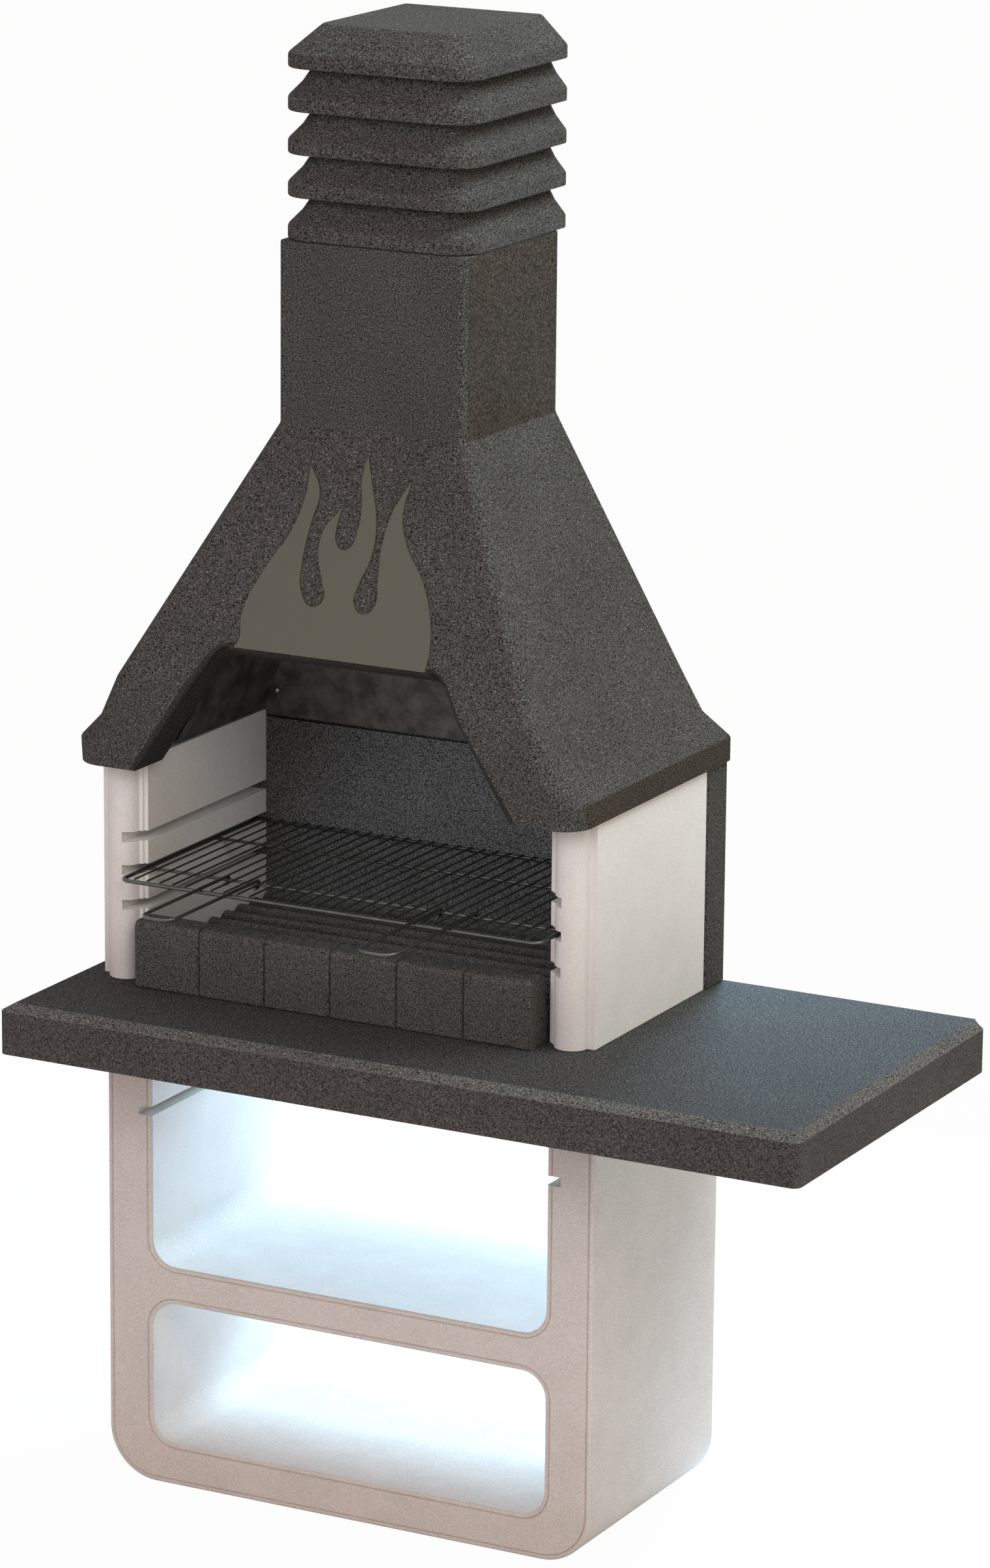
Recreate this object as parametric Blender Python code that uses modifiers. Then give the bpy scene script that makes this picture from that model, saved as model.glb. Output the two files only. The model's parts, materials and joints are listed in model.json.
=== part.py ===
"""Outdoor masonry barbecue with a worktop, a firebox, a smoke hood and a stacked chimney pot.

The object stands on the ground. Its origin is the centre of the base's underside, the front
faces -Y, the worktop reaches out to +X, and +Z is up. All sizes are in metres.
"""

import math

import bmesh
import bpy
from mathutils import Matrix, Vector

# Joints between neighbouring pieces
GAP = 0.0003
OVERRUN = 0.020

# Base
BASE_WIDTH = 0.818
BASE_DEPTH = 0.410
BASE_HEIGHT = 0.718
BASE_WALL = 0.076
BASE_FOOT_RADIUS = 0.080
BASE_EDGE = 0.005
LOWER_BAY_BOTTOM = 0.0655
LOWER_BAY_HEIGHT = 0.2225
MIDDLE_SHELF = 0.0583
BAY_RADIUS = 0.040
BASE_GROOVE_BOTTOM = 0.579
BASE_GROOVE_HEIGHT = 0.0145
BASE_GROOVE_DEPTH = 0.016

# Worktop
WORKTOP_LENGTH = 1.2945
WORKTOP_THICKNESS = 0.0765
WORKTOP_LEFT_OVERHANG = 0.0484
WORKTOP_FRONT_OVERHANG = 0.2262
WORKTOP_BACK_OVERHANG = 0.0023
WORKTOP_CHAMFER_WIDTH = 0.018
WORKTOP_CHAMFER_HEIGHT = 0.011
WORKTOP_CORNER = 0.013

# Firebox walls and back panel
FIREBOX_WIDTH = 0.820
WALL_THICKNESS = 0.075
WALL_HEIGHT = 0.3375
WALL_DEPTH = 0.3535
WALL_STRIP = 0.008
BULLNOSE_WIDTH = 0.0585
BULLNOSE_REACH = 0.024
FILLET_STEP_WIDTH = 0.0055
FILLET_STEP_REACH = 0.002
FILLET_STEP_SETBACK = 0.003
BACK_PANEL_WIDTH = 0.8254
BACK_PANEL_THICKNESS = 0.0615
GROOVE_HEIGHT = 0.015
GROOVE_DEPTH = 0.030
LOW_GROOVE_RISE = 0.1076
MIDDLE_GROOVE_RISE = 0.161
TOP_GROOVE_RISE = 0.2113

# Fire bricks
BRICK_COUNT = 6
BRICK_PITCH = 0.110
BRICK_JOINT = 0.0006
BRICK_FRONT_REACH = 0.048
BRICK_LIP_THICKNESS = 0.050
BRICK_LIP_HEIGHT = 0.1026
BRICK_LIP_RADIUS = 0.010
BRICK_BED_HEIGHT = 0.0525
BRICK_RIDGE_PITCH = 0.042
BRICK_RIDGE_HEIGHT = 0.010
BRICK_FIRST_RIDGE = 0.0085

# Smoke hood with its shaft
HOOD_WIDTH = 0.836
HOOD_DEPTH = 0.492
HOOD_CORNER = 0.045
HOOD_RIM_HEIGHT = 0.038
HOOD_SHOULDER_HEIGHT = 0.037
HOOD_SHOULDER_INSET = 0.039
HOOD_SHOULDER_BACK = 0.016
HOOD_SKIRT_HEIGHT = 0.064
HOOD_SKIRT_INSET = 0.033
HOOD_SKIRT_BACK = 0.009
HOOD_SLOPE_HEIGHT = 0.370
HOOD_FRONT_LEAN = 0.1461
HOOD_BACK_LEAN = 0.0375
SHAFT_WIDTH = 0.308
SHAFT_HEIGHT = 0.267
SHAFT_CORNER = 0.030
HOOD_WALL = 0.046
HOOD_FRONT_WALL = 0.070

# Fire opening in the hood
OPENING_FOOT_WIDTH = 0.621
OPENING_HEIGHT = 0.205
OPENING_LEAN = math.radians(33.5)
OPENING_CORNER = 0.045
OPENING_EDGE = 0.016

# Flame-shaped plate on the hood
PLATE_WIDTH = 0.3136
PLATE_HEIGHT = 0.3006
PLATE_THICKNESS = 0.003
PLATE_RISE = 0.065
PLATE_SHIFT = 0.002
PLATE_FLANGE_DEPTH = 0.014
PLATE_FLANGE_SIDE = 0.012

# Firebox liner
LINER_SHEET = 0.002
LINER_HEIGHT = 0.290
LINER_SIDE_LEAN = math.radians(24.8)
LINER_BACK_LEAN = math.radians(8.7)
LINER_FRONT_LEAN = math.radians(34.0)
LINER_SEAT = 0.003
LINER_FRONT_SETBACK = 0.050
LINER_FLANGE = 0.022
LINER_BACK_DROP = 0.007
RIVET_SHANK = 0.004
RIVET_HEAD = 0.009
RIVET_HEAD_HEIGHT = 0.002
RIVET_FIRST_RISE = 0.034
RIVET_PITCH = 0.110
RIVET_ROWS = 3

# Chimney pot
POT_WIDTH = 0.312
POT_DEPTH = 0.304
POT_CORNER = 0.045
POT_SETBACK = 0.0015
POT_PITCH = 0.0619
POT_BAND = 0.0205
POT_INSET = 0.030
POT_WALL = 0.034
POT_HOLLOW_SHARE = 0.6
POT_RINGS = 3
CAP_INSET = 0.043
CAP_TOP = 0.026
SMOKE_SLOT_WIDTH = 0.140
SMOKE_SLOT_HEIGHT = 0.024

# Grill
GRILL_HALF_WIDTH = 0.3465
GRILL_FRONT_REACH = 0.0575
GRILL_BACK_CLEARANCE = 0.003
FRAME_WIRE = 0.006
FRAME_CORNER = 0.014
BAR_WIRE = 0.003
BAR_COUNT = 31
WELD_SINK = 0.0008
FRONT_CROSS_SETBACK = 0.078
MIDDLE_CROSS_SETBACK = 0.275
REAR_CROSS_CLEARANCE = 0.003

# Grill handles
HANDLE_WIRE = 0.006
HANDLE_REACH = 0.2525
HANDLE_LOOP_RADIUS = 0.020
HANDLE_HOOK_TAIL = 0.009
LEFT_HANDLE_OUTER = 0.2102
LEFT_HANDLE_INNER = 0.1593
RIGHT_HANDLE_INNER = 0.1457
RIGHT_HANDLE_OUTER = 0.2036

# Steps in curved stretches
CORNER_STEPS = 6
SCALLOP_STEPS = 5
BULLNOSE_STEPS = 10
WIRE_STEPS = 6
RIVET_STEPS = 10

# Places that follow from the sizes above
HALF_BASE = BASE_WIDTH / 2
FRONT = -BASE_DEPTH / 2
BACK = BASE_DEPTH / 2
WORKTOP_TOP = BASE_HEIGHT + WORKTOP_THICKNESS
WALL_TOP = WORKTOP_TOP + WALL_HEIGHT
HALF_FIREBOX = FIREBOX_WIDTH / 2
HALF_CLEAR = HALF_FIREBOX - WALL_THICKNESS
PANEL_FACE = BACK - BACK_PANEL_THICKNESS
WALL_FRONT = PANEL_FACE - WALL_DEPTH
HOOD_BOTTOM = WALL_TOP + GAP
HOOD_FRONT = BACK - HOOD_DEPTH
HOOD_SHOULDER = HOOD_BOTTOM + HOOD_RIM_HEIGHT
HOOD_SKIRT = HOOD_SHOULDER + HOOD_SHOULDER_HEIGHT
HOOD_CREASE = HOOD_SKIRT + HOOD_SKIRT_HEIGHT
SHAFT_FOOT = HOOD_CREASE + HOOD_SLOPE_HEIGHT
SHAFT_TOP = SHAFT_FOOT + SHAFT_HEIGHT
SHAFT_FRONT = HOOD_FRONT + HOOD_FRONT_LEAN
SHAFT_BACK = BACK - HOOD_SHOULDER_BACK - HOOD_SKIRT_BACK - HOOD_BACK_LEAN
SLOPE_TILT = math.atan2(HOOD_FRONT_LEAN, HOOD_SLOPE_HEIGHT)
POT_FRONT = SHAFT_FRONT + POT_SETBACK
POT_BACK = POT_FRONT + POT_DEPTH
GRILL_HEIGHT = WORKTOP_TOP + MIDDLE_GROOVE_RISE + GAP + FRAME_WIRE / 2
GRILL_FRONT = WALL_FRONT - GRILL_FRONT_REACH
GRILL_BACK = PANEL_FACE - GRILL_BACK_CLEARANCE
FRONT_CROSS = GRILL_FRONT + FRONT_CROSS_SETBACK
MIDDLE_CROSS = GRILL_FRONT + MIDDLE_CROSS_SETBACK
REAR_CROSS = GRILL_BACK - REAR_CROSS_CLEARANCE

# The flame's outline: across from the middle of its foot in shares of its width, and up the
# hood's slope in shares of its height. The last value says whether the point is a sharp tip.
FLAME_SHARES = (
    (-0.478, 0.040, False), (-0.490, 0.158, False), (-0.420, 0.385, False), (-0.316, 0.585, False),
    (-0.272, 0.780, False), (-0.274, 0.920, True), (-0.204, 0.800, False), (-0.218, 0.650, False),
    (-0.228, 0.470, False), (-0.206, 0.310, False), (-0.136, 0.240, False), (-0.080, 0.285, False),
    (-0.104, 0.365, False), (-0.152, 0.500, False), (-0.144, 0.625, False), (-0.076, 0.730, False),
    (-0.062, 0.776, True), (-0.082, 0.660, False), (-0.064, 0.550, False), (-0.010, 0.533, False),
    (0.030, 0.640, False), (0.024, 0.770, False), (0.002, 0.880, False), (0.012, 1.000, True),
    (0.062, 0.850, False), (0.116, 0.680, False), (0.122, 0.510, False), (0.082, 0.370, False),
    (0.078, 0.275, False), (0.142, 0.235, False), (0.188, 0.285, False), (0.178, 0.400, False),
    (0.168, 0.600, False), (0.196, 0.760, False), (0.258, 0.895, True), (0.242, 0.740, False),
    (0.290, 0.590, False), (0.404, 0.430, False), (0.480, 0.250, False), (0.504, 0.110, False),
)


def clear_scene():
    """Remove every object, mesh and curve that the file opened with."""
    for item in list(bpy.data.objects):
        bpy.data.objects.remove(item, do_unlink=True)
    for item in list(bpy.data.collections):
        bpy.data.collections.remove(item)


def new_collection(name):
    """Return a new collection linked to the scene."""
    collection = bpy.data.collections.new(name)
    bpy.context.scene.collection.children.link(collection)
    return collection


def material(name, colour, roughness, metallic):
    """Return a Principled material with a colour, a roughness and a metallic value."""
    made = bpy.data.materials.new(name)
    made.use_nodes = True
    shader = made.node_tree.nodes["Principled BSDF"]
    shader.inputs["Base Color"].default_value = (*colour, 1)
    shader.inputs["Roughness"].default_value = roughness
    shader.inputs["Metallic"].default_value = metallic
    made.diffuse_color = (*colour, 1)
    return made


def place(item, collection, finish):
    """Link an object to its collection and give it its material."""
    collection.objects.link(item)
    if finish is not None:
        item.data.materials.append(finish)
    return item


def mesh_object(name, mesh_data, collection, finish):
    """Return an object made of a bmesh, which is freed here."""
    bmesh.ops.recalc_face_normals(mesh_data, faces=mesh_data.faces)
    mesh = bpy.data.meshes.new(name)
    mesh_data.to_mesh(mesh)
    mesh_data.free()
    return place(bpy.data.objects.new(name, mesh), collection, finish)


def box(name, low, high, collection, finish):
    """Return a box between two corners."""
    mesh_data = bmesh.new()
    bmesh.ops.create_cube(mesh_data, size=1)
    size = Vector(high) - Vector(low)
    middle = (Vector(high) + Vector(low)) / 2
    bmesh.ops.scale(mesh_data, vec=size, verts=mesh_data.verts)
    bmesh.ops.translate(mesh_data, vec=middle, verts=mesh_data.verts)
    return mesh_object(name, mesh_data, collection, finish)


def as_cutter(item):
    """Show an object as wire and keep it out of the model."""
    item.hide_render = True
    item.display_type = "WIRE"
    return item


def cut(target, cutter):
    """Take a cutter's shape out of a target."""
    modifier = target.modifiers.new(cutter.name, "BOOLEAN")
    modifier.operation = "DIFFERENCE"
    modifier.solver = "EXACT"
    modifier.object = cutter


def cut_box(target, name, low, high, cutters):
    """Cut a box between two corners out of a target."""
    cut(target, as_cutter(box(name, low, high, cutters, None)))


def rounded(points, radii, steps):
    """Return a path whose corners are arcs. The first and last point of an open path stay."""
    path = []
    count = len(points)
    for index, corner in enumerate(points):
        radius = radii[index]
        corner = Vector(corner)
        if radius == 0:
            path.append(corner)
            continue
        before = (Vector(points[index - 1]) - corner).normalized()
        after = (Vector(points[(index + 1) % count]) - corner).normalized()
        half_angle = before.angle(after) / 2
        centre = corner + (before + after).normalized() * radius / math.sin(half_angle)
        start = corner + before * radius / math.tan(half_angle) - centre
        end = corner + after * radius / math.tan(half_angle) - centre
        sweep = start.angle(end)
        for step in range(steps + 1):
            turn = sweep * step / steps
            start_weight = math.sin(sweep - turn) / math.sin(sweep)
            end_weight = math.sin(turn) / math.sin(sweep)
            path.append(centre + start * start_weight + end * end_weight)
    return path


def add_spline(curve, path, closed):
    """Add a straight-sided spline through a path's points."""
    spline = curve.splines.new("POLY")
    spline.points.add(len(path) - 1)
    for point, place_on_path in zip(spline.points, path):
        place_3d = Vector(place_on_path).to_3d()
        point.co = (*place_3d, 1)
    spline.use_cyclic_u = closed


def flat_curve(name, outlines, thickness, edge=0.0):
    """Return a filled flat curve with a thickness and chamfered edges that keep its size."""
    curve = bpy.data.curves.new(name, "CURVE")
    curve.dimensions = "2D"
    curve.fill_mode = "BOTH"
    curve.extrude = thickness / 2 - edge
    curve.bevel_depth = edge
    curve.bevel_resolution = 0
    curve.offset = -edge
    for outline in outlines:
        add_spline(curve, outline, True)
    return curve


def curve_to_mesh(item, collection, finish):
    """Replace a curve object by a mesh object with welded caps."""
    bpy.context.scene.collection.objects.link(item)
    bpy.context.view_layer.update()
    evaluated = item.evaluated_get(bpy.context.evaluated_depsgraph_get())
    mesh = bpy.data.meshes.new_from_object(evaluated)
    mesh_data = bmesh.new()
    mesh_data.from_mesh(mesh)
    bmesh.ops.remove_doubles(mesh_data, verts=mesh_data.verts, dist=GAP / 10)
    bmesh.ops.transform(mesh_data, matrix=item.matrix_world, verts=mesh_data.verts)
    name = item.name
    curve = item.data
    bpy.data.objects.remove(item, do_unlink=True)
    bpy.data.curves.remove(curve)
    bpy.data.meshes.remove(mesh)
    return mesh_object(name, mesh_data, collection, finish)


def plan_section(half_width, front, back, height, front_radius, back_radius):
    """Return a rounded rectangle at a height, counter-clockwise from its front left corner."""
    corners = (
        (-half_width, front, front_radius, math.pi),
        (half_width, front, front_radius, math.pi * 3 / 2),
        (half_width, back, back_radius, 0),
        (-half_width, back, back_radius, math.pi / 2),
    )
    loop = []
    for across, along, radius, start in corners:
        centre_x = across - math.copysign(radius, across)
        centre_y = along + radius if along == front else along - radius
        for step in range(CORNER_STEPS + 1):
            angle = start + math.pi / 2 * step / CORNER_STEPS
            place_x = centre_x + radius * math.cos(angle)
            place_y = centre_y + radius * math.sin(angle)
            loop.append(Vector((place_x, place_y, height)))
    return loop


def loft(name, sections, collection, finish):
    """Return a closed body through sections that have the same number of points."""
    mesh_data = bmesh.new()
    rings = [[mesh_data.verts.new(point) for point in section] for section in sections]
    mesh_data.faces.new(list(reversed(rings[0])))
    mesh_data.faces.new(rings[-1])
    for lower, upper in zip(rings, rings[1:]):
        for index, vertex in enumerate(lower):
            following = (index + 1) % len(lower)
            mesh_data.faces.new((vertex, lower[following], upper[following], upper[index]))
    bmesh.ops.remove_doubles(mesh_data, verts=mesh_data.verts, dist=GAP / 10)
    bmesh.ops.dissolve_degenerate(mesh_data, edges=mesh_data.edges, dist=GAP / 10)
    wide = [face for face in mesh_data.faces if len(face.verts) > 4]
    bmesh.ops.triangulate(mesh_data, faces=wide)
    return mesh_object(name, mesh_data, collection, finish)


def wire_curve(name, paths, diameter):
    """Return a curve of round wires along paths, with filled ends."""
    curve = bpy.data.curves.new(name, "CURVE")
    curve.dimensions = "3D"
    curve.bevel_depth = diameter / 2
    curve.bevel_resolution = 2
    curve.use_fill_caps = True
    for path in paths:
        add_spline(curve, path, False)
    return curve


def make_base(parts, cutters, cement):
    """The cast base: two sides, a lower bay, a shelf and an open upper bay."""
    inner = HALF_BASE - BASE_WALL
    shelf = LOWER_BAY_BOTTOM + LOWER_BAY_HEIGHT
    bay_floor = shelf + MIDDLE_SHELF
    outer_points = (
        (-HALF_BASE, 0), (HALF_BASE, 0), (HALF_BASE, BASE_HEIGHT), (inner, BASE_HEIGHT),
        (inner, bay_floor), (-inner, bay_floor), (-inner, BASE_HEIGHT), (-HALF_BASE, BASE_HEIGHT),
    )
    outer_radii = (BASE_FOOT_RADIUS, BASE_FOOT_RADIUS, 0, 0, BAY_RADIUS, BAY_RADIUS, 0, 0)
    bay_points = ((-inner, LOWER_BAY_BOTTOM), (inner, LOWER_BAY_BOTTOM), (inner, shelf), (-inner, shelf))
    outer = rounded(outer_points, outer_radii, CORNER_STEPS)
    bay = rounded(bay_points, (BAY_RADIUS,) * len(bay_points), CORNER_STEPS)
    base = bpy.data.objects.new("base", flat_curve("base", (outer, bay), BASE_DEPTH, BASE_EDGE))
    base.rotation_euler.x = math.pi / 2
    base = curve_to_mesh(base, parts, cement)
    groove_top = BASE_GROOVE_BOTTOM + BASE_GROOVE_HEIGHT
    for side, label in ((-1, "left"), (1, "right")):
        near = side * (inner - OVERRUN)
        deep = side * (inner + BASE_GROOVE_DEPTH)
        low = (min(near, deep), FRONT - OVERRUN, BASE_GROOVE_BOTTOM)
        high = (max(near, deep), BACK + OVERRUN, groove_top)
        cut_box(base, "base_groove_" + label, low, high, cutters)
    return base


def make_worktop(parts, concrete):
    """The worktop slab, chamfered on top along its front and both ends."""
    left = -HALF_BASE - WORKTOP_LEFT_OVERHANG
    front = FRONT - WORKTOP_FRONT_OVERHANG
    bottom = BASE_HEIGHT + GAP
    mesh_data = bmesh.new()
    bmesh.ops.create_cube(mesh_data, size=1)
    half = Vector((1, 1, 1)) / 2
    bmesh.ops.translate(mesh_data, vec=half, verts=mesh_data.verts)
    depth = BACK + WORKTOP_BACK_OVERHANG - front
    size = Vector((WORKTOP_LENGTH, depth, WORKTOP_TOP - bottom))
    bmesh.ops.scale(mesh_data, vec=size, verts=mesh_data.verts)
    bmesh.ops.translate(mesh_data, vec=Vector((left, front, bottom)), verts=mesh_data.verts)
    upright = [edge for edge in mesh_data.edges if edge.verts[0].co.xy == edge.verts[1].co.xy]
    bmesh.ops.bevel(mesh_data, geom=upright, offset=WORKTOP_CORNER, segments=CORNER_STEPS,
                    profile=0.5, affect="EDGES")
    chamfer_foot = WORKTOP_TOP - WORKTOP_CHAMFER_HEIGHT
    everything = mesh_data.verts[:] + mesh_data.edges[:] + mesh_data.faces[:]
    bmesh.ops.bisect_plane(mesh_data, geom=everything, plane_co=(0, 0, chamfer_foot),
                           plane_no=(0, 0, 1))
    right = left + WORKTOP_LENGTH
    for vertex in mesh_data.verts:
        if vertex.co.z > chamfer_foot + GAP:
            inner_left = left + WORKTOP_CHAMFER_WIDTH
            inner_right = right - WORKTOP_CHAMFER_WIDTH
            vertex.co.x = min(max(vertex.co.x, inner_left), inner_right)
            vertex.co.y = max(vertex.co.y, front + WORKTOP_CHAMFER_WIDTH)
    bmesh.ops.remove_doubles(mesh_data, verts=mesh_data.verts, dist=GAP / 10)
    return mesh_object("worktop", mesh_data, parts, concrete)


def make_wall(name, side, parts, cutters, cement):
    """A side wall with a bullnose front and three grooves for the grill on its inner face."""
    strip_inner = HALF_FIREBOX - WALL_STRIP
    nose_inner = strip_inner - BULLNOSE_WIDTH
    nose_centre = (strip_inner + nose_inner) / 2
    fillet_inner = nose_inner - FILLET_STEP_WIDTH
    outline = [Vector((HALF_FIREBOX, PANEL_FACE - GAP)), Vector((HALF_FIREBOX, WALL_FRONT))]
    sweep = math.pi - math.asin(FILLET_STEP_REACH / BULLNOSE_REACH)
    for step in range(BULLNOSE_STEPS + 1):
        angle = sweep * step / BULLNOSE_STEPS
        across = nose_centre + BULLNOSE_WIDTH / 2 * math.cos(angle)
        along = WALL_FRONT - BULLNOSE_REACH * math.sin(angle)
        outline.append(Vector((across, along)))
    outline.append(Vector((fillet_inner, WALL_FRONT - FILLET_STEP_REACH)))
    outline.append(Vector((fillet_inner, WALL_FRONT + FILLET_STEP_SETBACK)))
    outline.append(Vector((HALF_CLEAR, WALL_FRONT + FILLET_STEP_SETBACK)))
    outline.append(Vector((HALF_CLEAR, PANEL_FACE - GAP)))
    outline = [Vector((side * point.x, point.y)) for point in outline]
    height = WALL_HEIGHT - GAP
    wall = bpy.data.objects.new(name, flat_curve(name, (outline,), height))
    wall.location.z = WORKTOP_TOP + GAP + height / 2
    wall = curve_to_mesh(wall, parts, cement)
    rises = (("low", LOW_GROOVE_RISE), ("middle", MIDDLE_GROOVE_RISE), ("top", TOP_GROOVE_RISE))
    for label, rise in rises:
        near = side * (HALF_CLEAR - OVERRUN)
        deep = side * (HALF_CLEAR + GROOVE_DEPTH)
        low = (min(near, deep), WALL_FRONT - BULLNOSE_REACH - OVERRUN, WORKTOP_TOP + rise)
        high = (max(near, deep), PANEL_FACE + OVERRUN, WORKTOP_TOP + rise + GROOVE_HEIGHT)
        cut_box(wall, name + "_" + label + "_groove", low, high, cutters)
    return wall


def make_back_panel(parts, concrete):
    """The plain panel behind the firebox."""
    low = (-BACK_PANEL_WIDTH / 2, PANEL_FACE, WORKTOP_TOP + GAP)
    high = (BACK_PANEL_WIDTH / 2, BACK, WALL_TOP)
    return box("back_panel", low, high, parts, concrete)


def brick_outline():
    """Return a fire brick's side view: along the depth, then up from the worktop."""
    front = WALL_FRONT - BRICK_FRONT_REACH
    lip_back = front + BRICK_LIP_THICKNESS
    back = PANEL_FACE - GAP
    lip_points = ((front, GAP), (front, BRICK_LIP_HEIGHT), (lip_back, BRICK_LIP_HEIGHT), (lip_back, GAP))
    lip_radii = (0, BRICK_LIP_RADIUS, BRICK_LIP_RADIUS, 0)
    outline = rounded(lip_points, lip_radii, CORNER_STEPS)[:-1]
    first_ridge = lip_back + BRICK_FIRST_RIDGE
    count = math.ceil((back - lip_back) / BRICK_RIDGE_PITCH * SCALLOP_STEPS) + 1
    for step in range(count):
        along = min(lip_back + BRICK_RIDGE_PITCH * step / SCALLOP_STEPS, back)
        phase = (along - first_ridge) / BRICK_RIDGE_PITCH
        fall = abs(math.sin(math.pi * phase)) ** 2
        outline.append(Vector((along, BRICK_BED_HEIGHT - BRICK_RIDGE_HEIGHT * fall)))
        if along == back:
            break
    outline.append(Vector((back, GAP)))
    return outline


def make_brick(index, parts, clay):
    """One L-shaped fire brick: a front lip and a ridged bed."""
    name = "firebrick_" + str(index + 1)
    width = BRICK_PITCH - BRICK_JOINT
    across = BRICK_PITCH * (index - (BRICK_COUNT - 1) / 2)
    brick = bpy.data.objects.new(name, flat_curve(name, (brick_outline(),), width))
    upright = Matrix(((0, 0, 1, across), (1, 0, 0, 0), (0, 1, 0, WORKTOP_TOP), (0, 0, 0, 1)))
    brick.matrix_world = upright
    return curve_to_mesh(brick, parts, clay)


def hood_outer_sections():
    """Return the hood's outer sections from its rim to the top of its shaft."""
    half = HOOD_WIDTH / 2
    skirt_half = half - HOOD_SHOULDER_INSET
    crease_half = skirt_half - HOOD_SKIRT_INSET
    skirt_back = BACK - HOOD_SHOULDER_BACK
    crease_back = skirt_back - HOOD_SKIRT_BACK
    return (
        plan_section(half, HOOD_FRONT, BACK, HOOD_BOTTOM, HOOD_CORNER, 0),
        plan_section(half, HOOD_FRONT, BACK, HOOD_SHOULDER, HOOD_CORNER, 0),
        plan_section(skirt_half, HOOD_FRONT, skirt_back, HOOD_SKIRT, HOOD_CORNER, 0),
        plan_section(crease_half, HOOD_FRONT, crease_back, HOOD_CREASE, HOOD_CORNER, 0),
        plan_section(SHAFT_WIDTH / 2, SHAFT_FRONT, SHAFT_BACK, SHAFT_FOOT, SHAFT_CORNER, 0),
        plan_section(SHAFT_WIDTH / 2, SHAFT_FRONT, SHAFT_BACK, SHAFT_TOP, SHAFT_CORNER, 0),
    )


def hood_inner_sections():
    """Return the smoke chamber's sections, open below the hood and above its shaft."""
    half = HOOD_WIDTH / 2 - HOOD_WALL
    crease_half = half - HOOD_SHOULDER_INSET - HOOD_SKIRT_INSET
    front = HOOD_FRONT + HOOD_FRONT_WALL
    crease_back = BACK - HOOD_SHOULDER_BACK - HOOD_SKIRT_BACK - HOOD_WALL
    flue_half = SHAFT_WIDTH / 2 - HOOD_WALL
    flue_front = SHAFT_FRONT + HOOD_WALL
    flue_back = SHAFT_BACK - HOOD_WALL
    return (
        plan_section(half, front, BACK - HOOD_WALL, HOOD_BOTTOM - OVERRUN, 0, 0),
        plan_section(half, front, BACK - HOOD_WALL, HOOD_BOTTOM, 0, 0),
        plan_section(crease_half, front, crease_back, HOOD_CREASE, 0, 0),
        plan_section(flue_half, flue_front, flue_back, SHAFT_FOOT, 0, 0),
        plan_section(flue_half, flue_front, flue_back, SHAFT_TOP + OVERRUN, 0, 0),
    )


def hood_front_at(height):
    """Return the depth of the hood's front face at a height."""
    above = max(height - HOOD_CREASE, 0)
    return HOOD_FRONT + above * math.tan(SLOPE_TILT)


def opening_section(depth, spread):
    """Return the fire opening's outline at a depth behind the hood's front, grown by a spread."""
    foot = HOOD_BOTTOM - OVERRUN
    top = HOOD_BOTTOM + OPENING_HEIGHT + spread
    side_shift = spread / math.cos(OPENING_LEAN)
    half_at_joint = OPENING_FOOT_WIDTH / 2 + side_shift
    slope = math.tan(OPENING_LEAN)
    half_foot = half_at_joint + (HOOD_BOTTOM - foot) * slope
    half_top = half_at_joint - (top - HOOD_BOTTOM) * slope
    half_crease = half_at_joint - (HOOD_CREASE - HOOD_BOTTOM) * slope
    points = (
        (half_foot, foot), (half_crease, HOOD_CREASE), (half_top, top),
        (-half_top, top), (-half_crease, HOOD_CREASE), (-half_foot, foot),
    )
    radius = OPENING_CORNER + spread
    outline = rounded(points, (0, 0, radius, radius, 0, 0), CORNER_STEPS)
    return [Vector((point.x, hood_front_at(point.y) + depth, point.y)) for point in outline]


def make_hood(parts, cutters, concrete):
    """The cast smoke hood with its shaft, its smoke chamber and its fire opening."""
    hood = loft("hood", hood_outer_sections(), parts, concrete)
    chamber = as_cutter(loft("smoke_chamber", hood_inner_sections(), cutters, None))
    cut(hood, chamber)
    half_edge = OPENING_EDGE * (1 - math.sqrt(2) / 2)
    through = HOOD_FRONT_WALL + OVERRUN
    sections = (
        opening_section(-OVERRUN, OPENING_EDGE), opening_section(0, OPENING_EDGE),
        opening_section(half_edge, half_edge), opening_section(OPENING_EDGE, 0),
        opening_section(through, 0),
    )
    cut(hood, as_cutter(loft("fire_opening", sections, cutters, None)))
    return hood


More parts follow.
